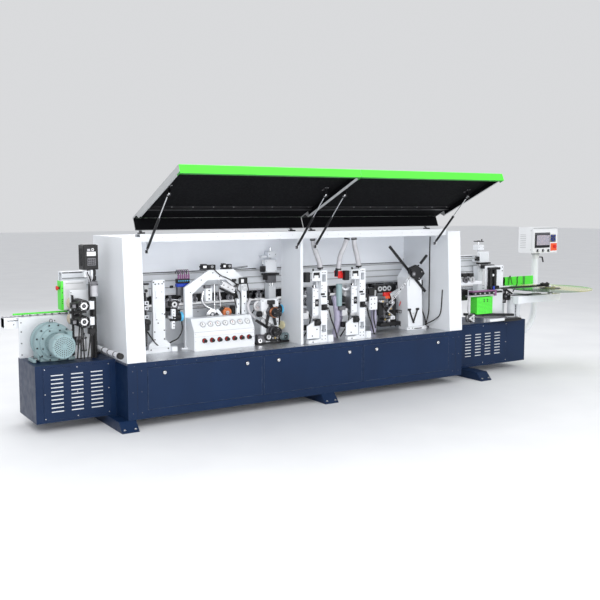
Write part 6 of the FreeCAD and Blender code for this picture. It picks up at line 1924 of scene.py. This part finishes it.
def pillar_side_gear():
    """The blocks and cables at the pillar's right side."""
    kit = Kit("pillar_side_gear", slot="black_metal")
    kit.box((1440, 350, 1000), (1478, 420, 1092), BLACK, 5)
    kit.box((1446, 340, 960), (1470, 400, 1000), BLACK_METAL, 3)
    kit.rod((1480, 380, 1062), (1494, 380, 1062), 10, STEEL, 2)
    kit.box((1470, 400, 820), (1520, 450, 960), HOSE, 8)
    kit.tube([(1460, 350, 960), (1436, 330, 880), (1450, 330, 780), (1490, 330, 680),
              (1520, 340, 592)], 7, RUBBER)
    kit.tube([(1548, 120, 1000), (1546, 140, 760), (1530, 200, 680), (1490, 320, 610)], 6, RUBBER)
    kit.box((1400, 310, 575), (1540, 380, 590), DARK_STEEL, 3)
    kit.done()


def pressing_lever_head():
    """The lever's head plates, pivot washers, rods and grip."""
    kit = Kit("pressing_lever_head", "pressing_arm_body", "black_metal")
    kit.prism([(1206, 1236), (1300, 1266), (1392, 1216), (1424, 1168), (1352, 1098), (1262, 1124),
               (1210, 1180)], 1, 262, 283, BLACK_METAL)
    kit.prism([(1222, 1226), (1300, 1250), (1340, 1224), (1320, 1150), (1250, 1150)], 1, 252, 263,
              BLACK)
    kit.ring((LEVER_PIVOT.x, 246, LEVER_PIVOT.z), (0, 1, 0), 9, 24, 14, DARK_STEEL, 32)
    kit.ring((LEVER_PIVOT.x, 243, LEVER_PIVOT.z), (0, 1, 0), 4, 10, 6, STEEL, 24)
    for x, z in ((1236, 1212), (1300, 1236), (1380, 1190), (1346, 1122)):
        kit.bolt((x, 262, z), (0, -1, 0), 6, STEEL, 4)
    along = Vector((math.cos(math.radians(45)), 0, math.sin(math.radians(45))))
    across = Vector((-along.z, 0, along.x))
    pivot = Vector((LEVER_PIVOT.x, 276, LEVER_PIVOT.z))
    for offset in (-9, 9):
        kit.rod(pivot - along * 410 + across * offset, pivot - along * 36 + across * offset, 3.4,
                CHROME, 1, 12)
    for share in (-400, -220, -60, 120, 268):
        kit.rod(pivot + along * share - Vector((0, 4, 0)), pivot + along * share
                + Vector((0, 10, 0)), 9, BLACK, 2, 18)
    kit.rod(pivot + along * 150 + Vector((0, -6, 0)), pivot + along * 272 + Vector((0, -6, 0)), 15,
            BLACK_METAL, 4, 24)
    kit.done()


for saw_name, saw_x in (("left", -22), ("right", 436)):
    saw_front(saw_name, saw_x)
hose_clamps()
suction_nozzle()
lower_dust_hoses()
pressing_head()
pre_mill_mechanism()
pillar_foot()
pillar_side_gear()
pressing_lever_head()


# ---------------------------------------------------------------- infeed end

def tape_feed_plate():
    """The tape plate with its screws, and the green side panel."""
    kit = Kit("tape_feed_plate", slot="white_paint", replaces=("infeed_plate",))
    kit.box((2353, 300, 570), (2630, 320, 1213), WHITE, 3)
    kit.box((2400, 292, 1000), (2470, 300, 1210), WHITE, 6)
    screws(kit, [(2500, 1192), (2610, 1192), (2500, 1150), (2610, 1150), (2610, 620),
                 (2372, 620)], 300, 6)
    kit.box((2930, 600, 935), (3450, 612, 1040), GREEN, 2)
    # The darker green strip on the panel is painted shade.
    kit.box((3268, 598.6, 936), (3306, 600.2, 1039), GREEN_SHADE, 0.5)
    kit.box((2930, 600, 570), (2970, 640, 1040), WHITE, 3)
    for x in (2950, 3100, 3250, 3430):
        kit.bolt((x, 600, 952), (0, -1, 0), 4, BLACK_METAL, 3)
    kit.tube([(3046, 560, 955), (3052, 588, 1030), (3046, 592, 1052), (3026, 590, 1030),
              (3010, 580, 950)], 4, RUBBER)
    kit.done()


def tape_feed_gear():
    """The black feed gear and blocks in front of the tape plate."""
    kit = Kit("tape_feed_gear", slot="black_metal")
    kit.box((2368, 330, 1180), (2520, 400, 1222), BLACK_METAL, 4)
    kit.box((2372, 236, 1170), (2520, 300, 1196), BLACK, 4)
    kit.box((2376, 240, 962), (2404, 296, 1172), BLACK_METAL, 5)
    kit.box((2440, 240, 962), (2468, 296, 1172), BLACK_METAL, 5)
    kit.rod((2424, 250, 1110), (2424, 292, 1110), 15, WHITE, 3)
    kit.box((2372, 226, 950), (2500, 298, 990), BLACK, 5)
    kit.rod((2350, 240, 920), (2550, 240, 920), 12, BLACK, 2)
    kit.box((2060, 190, 905), (2400, 262, 938), BLACK_METAL, 4)
    kit.box((2050, 182, 938), (2420, 250, 950), VIOLET, 2)
    kit.box((1990, 196, 885), (2390, 244, 905), ALLOY, 3)
    for k in range(5):
        kit.rod((2090 + k * 70, 176, 920), (2090 + k * 70, 192, 920), 9, STEEL, 2)
    kit.rod((2396, 212, 950), (2396, 212, 990), 11, BLUE, 3)
    kit.box((2385, 180, 885), (2412, 200, 950), VIOLET, 3)
    kit.box((2640, 330, 770), (2720, 400, 930), BLACK, 6)
    for x, z in ((2660, 900), (2700, 850), (2665, 800), (2740, 870)):
        kit.ring((x, 318, z), (0, 1, 0), 7, 20, 14, DARK_STEEL, 26)
        kit.ring((x, 314, z), (0, 1, 0), 3, 8, 6, STEEL, 20)
    kit.box((2716, 330, 800), (2790, 380, 870), BLACK_METAL, 5)
    kit.at = turn("Y", 28, (2760, 340, 900))
    kit.box((2690, 330, 893), (2830, 352, 912), BLACK_METAL, 3)
    kit.at = Matrix()
    kit.tube([(2790, 300, 900), (2800, 250, 990), (2790, 240, 1060), (2815, 250, 1075)], 6, RUBBER)
    kit.done()


def tape_guide_bar():
    """The long bar that guides the tape from the tray."""
    kit = Kit("tape_guide_bar", slot="black_metal")
    kit.box((2420, 186, 958), (3120, 200, 972), BLACK, 3)
    kit.box((2500, 182, 950), (3100, 204, 958), DARK_STEEL, 2)
    kit.box((3080, 178, 950), (3260, 208, 978), BLACK_METAL, 4)
    kit.box((3120, 150, 972), (3236, 196, 992), BLACK, 4)
    for x in (3140, 3214):
        kit.rod((x, 172, 990), (x, 172, 1000), 12, BLACK, 3)
    kit.done()


def edge_mill_unit():
    """The knife motor, the bars on the end box and the small guide rollers."""
    kit = Kit("edge_mill_unit", slot="black_metal")
    for k in range(5):
        kit.rod((2030, 168 + 12 * k, 655), (2030, 176 + 12 * k, 655), 52 - 6 * (k % 2),
                (DARK_STEEL, BLACK_METAL, ALLOY, BLACK, DARK_STEEL)[k], 3, 36)
    kit.ring((2030, 158, 655), (0, 1, 0), 12, 34, 10, ALLOY, 32)
    for k in range(6):
        angle = math.pi * k / 3
        kit.box((2030 + math.cos(angle) * 38 - 9, 154, 655 + math.sin(angle) * 38 - 7),
                (2030 + math.cos(angle) * 38 + 9, 168, 655 + math.sin(angle) * 38 + 7),
                WHITE if k % 2 else BLACK, 2)
    kit.at = turn("Y", 4, (2300, 220, 640))
    kit.box((1960, 200, 660), (2720, 240, 688), BLACK_METAL, 4)
    kit.box((2120, 196, 636), (2600, 212, 656), DARK_STEEL, 3)
    kit.at = Matrix()
    kit.box((2330, 190, 590), (2560, 250, 622), WHITE, 4)
    kit.box((2560, 200, 575), (2840, 300, 606), BLACK, 5)
    kit.box((1760, 290, 640), (1830, 400, 1010), BLACK_METAL, 4)
    kit.box((1760, 300, 1010), (2300, 420, 1046), WHITE, 4)
    for k in range(4):
        kit.ring((1860 + k * 95, 290, 1068), (0, 1, 0), 14, 34, 24, ALLOY if k % 2 else DARK_STEEL,
                 30)
        kit.box((1830 + k * 95, 300, 1100), (1890 + k * 95, 380, 1140), BLACK, 5)
    kit.box((1840, 300, 840), (2090, 400, 960), BLACK, 6)
    kit.tube([(2000, 180, 900), (1975, 170, 820), (1990, 190, 740), (2010, 190, 700)], 9, HOSE)
    kit.done()


def lift_motor_bracket():
    """The white box at the right lifting column."""
    kit = Kit("lift_motor_bracket", slot="white_paint")
    kit.box((2590, 640, 1222), (2740, 690, 1350), WHITE, 6)
    kit.box((2576, 630, 1205), (2760, 690, 1224), BLACK_METAL, 3)
    kit.box((2540, 640, 1246), (2590, 680, 1296), BLACK, 5)
    kit.rod((2300, 655, 1280), (2542, 655, 1280), 6, STEEL, 1)
    kit.box((2640, 636, 1150), (2730, 686, 1206), DARK_STEEL, 5)
    kit.done()


def guard():
    """The bright green folded guard with a grid of round holes, drawn as darker green discs of painted
    shade.
    """
    low, high = corners("green_guard")
    kit = Kit("perforated_guard", slot="green_paint", replaces=("green_guard",))
    kit.box((low.x, low.y, low.z), (high.x, low.y + 3, high.z), GREEN, 1)
    kit.box((low.x, low.y, low.z), (low.x + 3, high.y, high.z), GREEN, 1)
    kit.box((high.x - 3, low.y, low.z), (high.x, high.y, high.z), GREEN, 1)
    kit.box((low.x, low.y, high.z - 3), (high.x, high.y, high.z), GREEN, 1)
    kit.box((low.x, low.y, low.z), (high.x, high.y, low.z + 3), GREEN, 1)
    # The holes are not cut: each is a darker green disc on the face, painted shade where a hole would be.
    columns, rows = 17, 12
    for column, row in product(range(columns), range(rows)):
        x = low.x + 15 + column * (high.x - low.x - 30) / (columns - 1)
        z = low.z + 15 + row * (high.z - low.z - 30) / (rows - 1)
        kit.rod((x, low.y - 0.3, z), (x, low.y + 1, z), 3.6, GREEN_SHADE, 0.2, 8)
    for column, row in product(range(5), range(12)):
        y = low.y + 16 + column * 17
        z = low.z + 15 + row * (high.z - low.z - 30) / 11
        kit.rod((low.x - 0.3, y, z), (low.x + 1, y, z), 3.6, GREEN_SHADE, 0.2, 8)
    for k in range(4):
        x = low.x + 110 + (k % 2) * 50
        z = high.z - 50 + 18 * (k // 2)
        kit.rod((x, low.y - 0.8, z), (x, low.y + 1, z), 8, BLACK, 0.4, 18)
    kit.done()


def tape_tray_hub():
    """The tray's rim lip, hub rings and screws."""
    low, high = corners("tape_tray")
    centre = ((low.x + high.x) / 2, (low.y + high.y) / 2)
    kit = Kit("tape_tray_hub", "tape_tray_body", "tray_acrylic")
    kit.ring((*centre, low.z + 5.4), (0, 0, 1), 62, 120, 3, BLACK, 60)
    kit.ring((*centre, high.z - 4), (0, 0, 1), 24, 56, 6, DARK_STEEL, 48)
    kit.hexagon((*centre, high.z), (0, 0, 1), 17, 8, STEEL)
    kit.ring((*centre, low.z + 0.4), (0, 0, 1), 462, 469.4, 7, TRAY, 120)
    for a, b in circle(6):
        kit.rod((centre[0] + a * 44, centre[1] + b * 44, high.z - 2),
                (centre[0] + a * 44, centre[1] + b * 44, high.z + 3),
                4.5, BLACK, 1, 12)
    kit.done()


def tray_beam_trim():
    """The beam's end plates, the tray's spindle and the bellows."""
    kit = Kit("tray_beam_trim", slot="white_paint")
    kit.box((3326, 68, 788), (3334, 152, 872), WHITE, 2)
    for y, z in product((82, 138), (802, 858)):
        kit.bolt((3334, y, z), (1, 0, 0), 4, STEEL, 3)
    kit.box((2638, 64, 784), (2690, 156, 790), WHITE, 2)
    kit.box((2640, 150, 872), (3100, 196, 880), BLACK_METAL, 3)
    kit.rod((3200, 110, 880), (3200, 110, 925), 30, DARK_STEEL, 4, 30)
    for k in range(14):
        kit.ring((2840, 360, 590 + k * 16), (0, 0, 1), 26, 47 - 5 * (k % 2), 12,
                 RUBBER if k > 4 else DARK_STEEL, 4)
    for x in (2900, 2950):
        kit.bolt((x, 330, 600), (0, -1, 0), 5, BLACK_METAL, 4)
    kit.done()


def operator_panel():
    """The head's screen, keys, stop plate, knobs, seams and back plate."""
    low, high = corners("hmi_head")
    finish_node("hmi_head", HMI_WHITE, 0.003)
    front = low.y
    kit = Kit("operator_panel", "hmi_head_body", "hmi_white")
    kit.box((low.x - 2, front - 9, high.z - 14), (high.x - 4, front + 4, high.z - 4), GREY, 2)
    kit.box((low.x + 6, front - 4, low.z + 6), (high.x - 6, front + 1, high.z - 22), HMI_WHITE, 2)
    kit.box((3322, front - 10, 1384), (3582, front - 3, 1566), GLASS_BLACK, 5)
    kit.box((3352, front - 11.4, 1416), (3572, front - 9, 1536), SCREEN, 1)
    kit.box((3330, front - 11, 1544), (3576, front - 9, 1560), DARK_STEEL, 1)
    kit.box((3594, front - 8, 1452), (3686, front - 3, 1540), BLACK, 3)
    for row, column in product(range(4), range(3)):
        kit.box((3601 + column * 28, front - 11, 1459 + row * 20),
                (3622 + column * 28, front - 7, 1473 + row * 20),
                BLUE if (row + column) % 2 else DARK_STEEL, 1.5)
    kit.box((3600, front - 5.5, 1345), (3712, front - 3, 1436), ORANGE, 3)
    kit.ring((3663, front - 9, 1395), (0, 1, 0), 10.5, 30, 5, ORANGE, 36)
    kit.ring((3663, front - 12, 1395), (0, 1, 0), 10.5, 16, 5, DARK_STEEL, 30)
    for k, x in enumerate((3372, 3466, 3560)):
        kit.ring((x, front - 8, 1350), (0, 1, 0), 8, 21, 6, ALLOY, 30)
        kit.turned((x, front - 22, 1350), (0, 1, 0), [(0, 0), (14, 0), (16, 2), (16, 15), (0, 15)],
                   BLACK, 26)
        kit.at = turn("Y", (35, 0, -35)[k], (x, front, 1350))
        kit.box((x - 3.4, front - 28, 1336), (x + 3.4, front - 21, 1364), WHITE, 1.5)
        kit.at = Matrix()
    for side in (low.x - 1, high.x - 3):
        for z in (low.z + 40, high.z - 40):
            kit.rod((side, 520, z), (side + 4, 520, z), 7, GREY, 1, 16)
    kit.box((low.x - 1, 505, low.z + 8), (low.x + 1, 508, high.z - 20), GREY, 0.4)
    for k in range(8):
        kit.box((low.x - 1, 600, low.z + 60 + k * 22), (low.x + 0.8, 690, low.z + 66 + k * 22),
                GREY, 0.4)
    kit.box((low.x + 20, high.y - 1, low.z + 20), (high.x - 20, high.y + 2, high.z - 20),
            HMI_WHITE, 1)
    for x, z in product((low.x + 32, high.x - 32), (low.z + 32, high.z - 32)):
        kit.bolt((x, high.y + 1, z), (0, 1, 0), 5, STEEL, 3)
    kit.done()


def pole_clamp():
    """The clamp and its lever on the pole below the head."""
    kit = Kit("pole_clamp", slot="hmi_white")
    kit.ring((POLE.x, POLE.y, 1244), (0, 0, 1), 40.2, 47, 44, HMI_WHITE, 44)
    kit.ring((POLE.x, POLE.y, 1296), (0, 0, 1), 40.2, 52, 12, GREY, 44)
    kit.rod((3574, 640, 1262), (3640, 640, 1258), 7, BLACK, 2)
    kit.rod((3640, 640, 1262), (3656, 634, 1196), 9, BLACK, 3)
    kit.ring((3556, 640, 1262), (1, 0, 0), 6, 13, 22, DARK_STEEL, 22)
    kit.done()


tape_feed_plate()
tape_feed_gear()
tape_guide_bar()
edge_mill_unit()
lift_motor_bracket()
guard()
tape_tray_hub()
tray_beam_trim()
operator_panel()
pole_clamp()


# ---------------------------------------------------------------- remaining nodes in white, and the end

for node_name in nodes:
    if not nodes[node_name].data.materials or nodes[node_name].data.materials[0] is None:
        finish_node(node_name, WHITE)
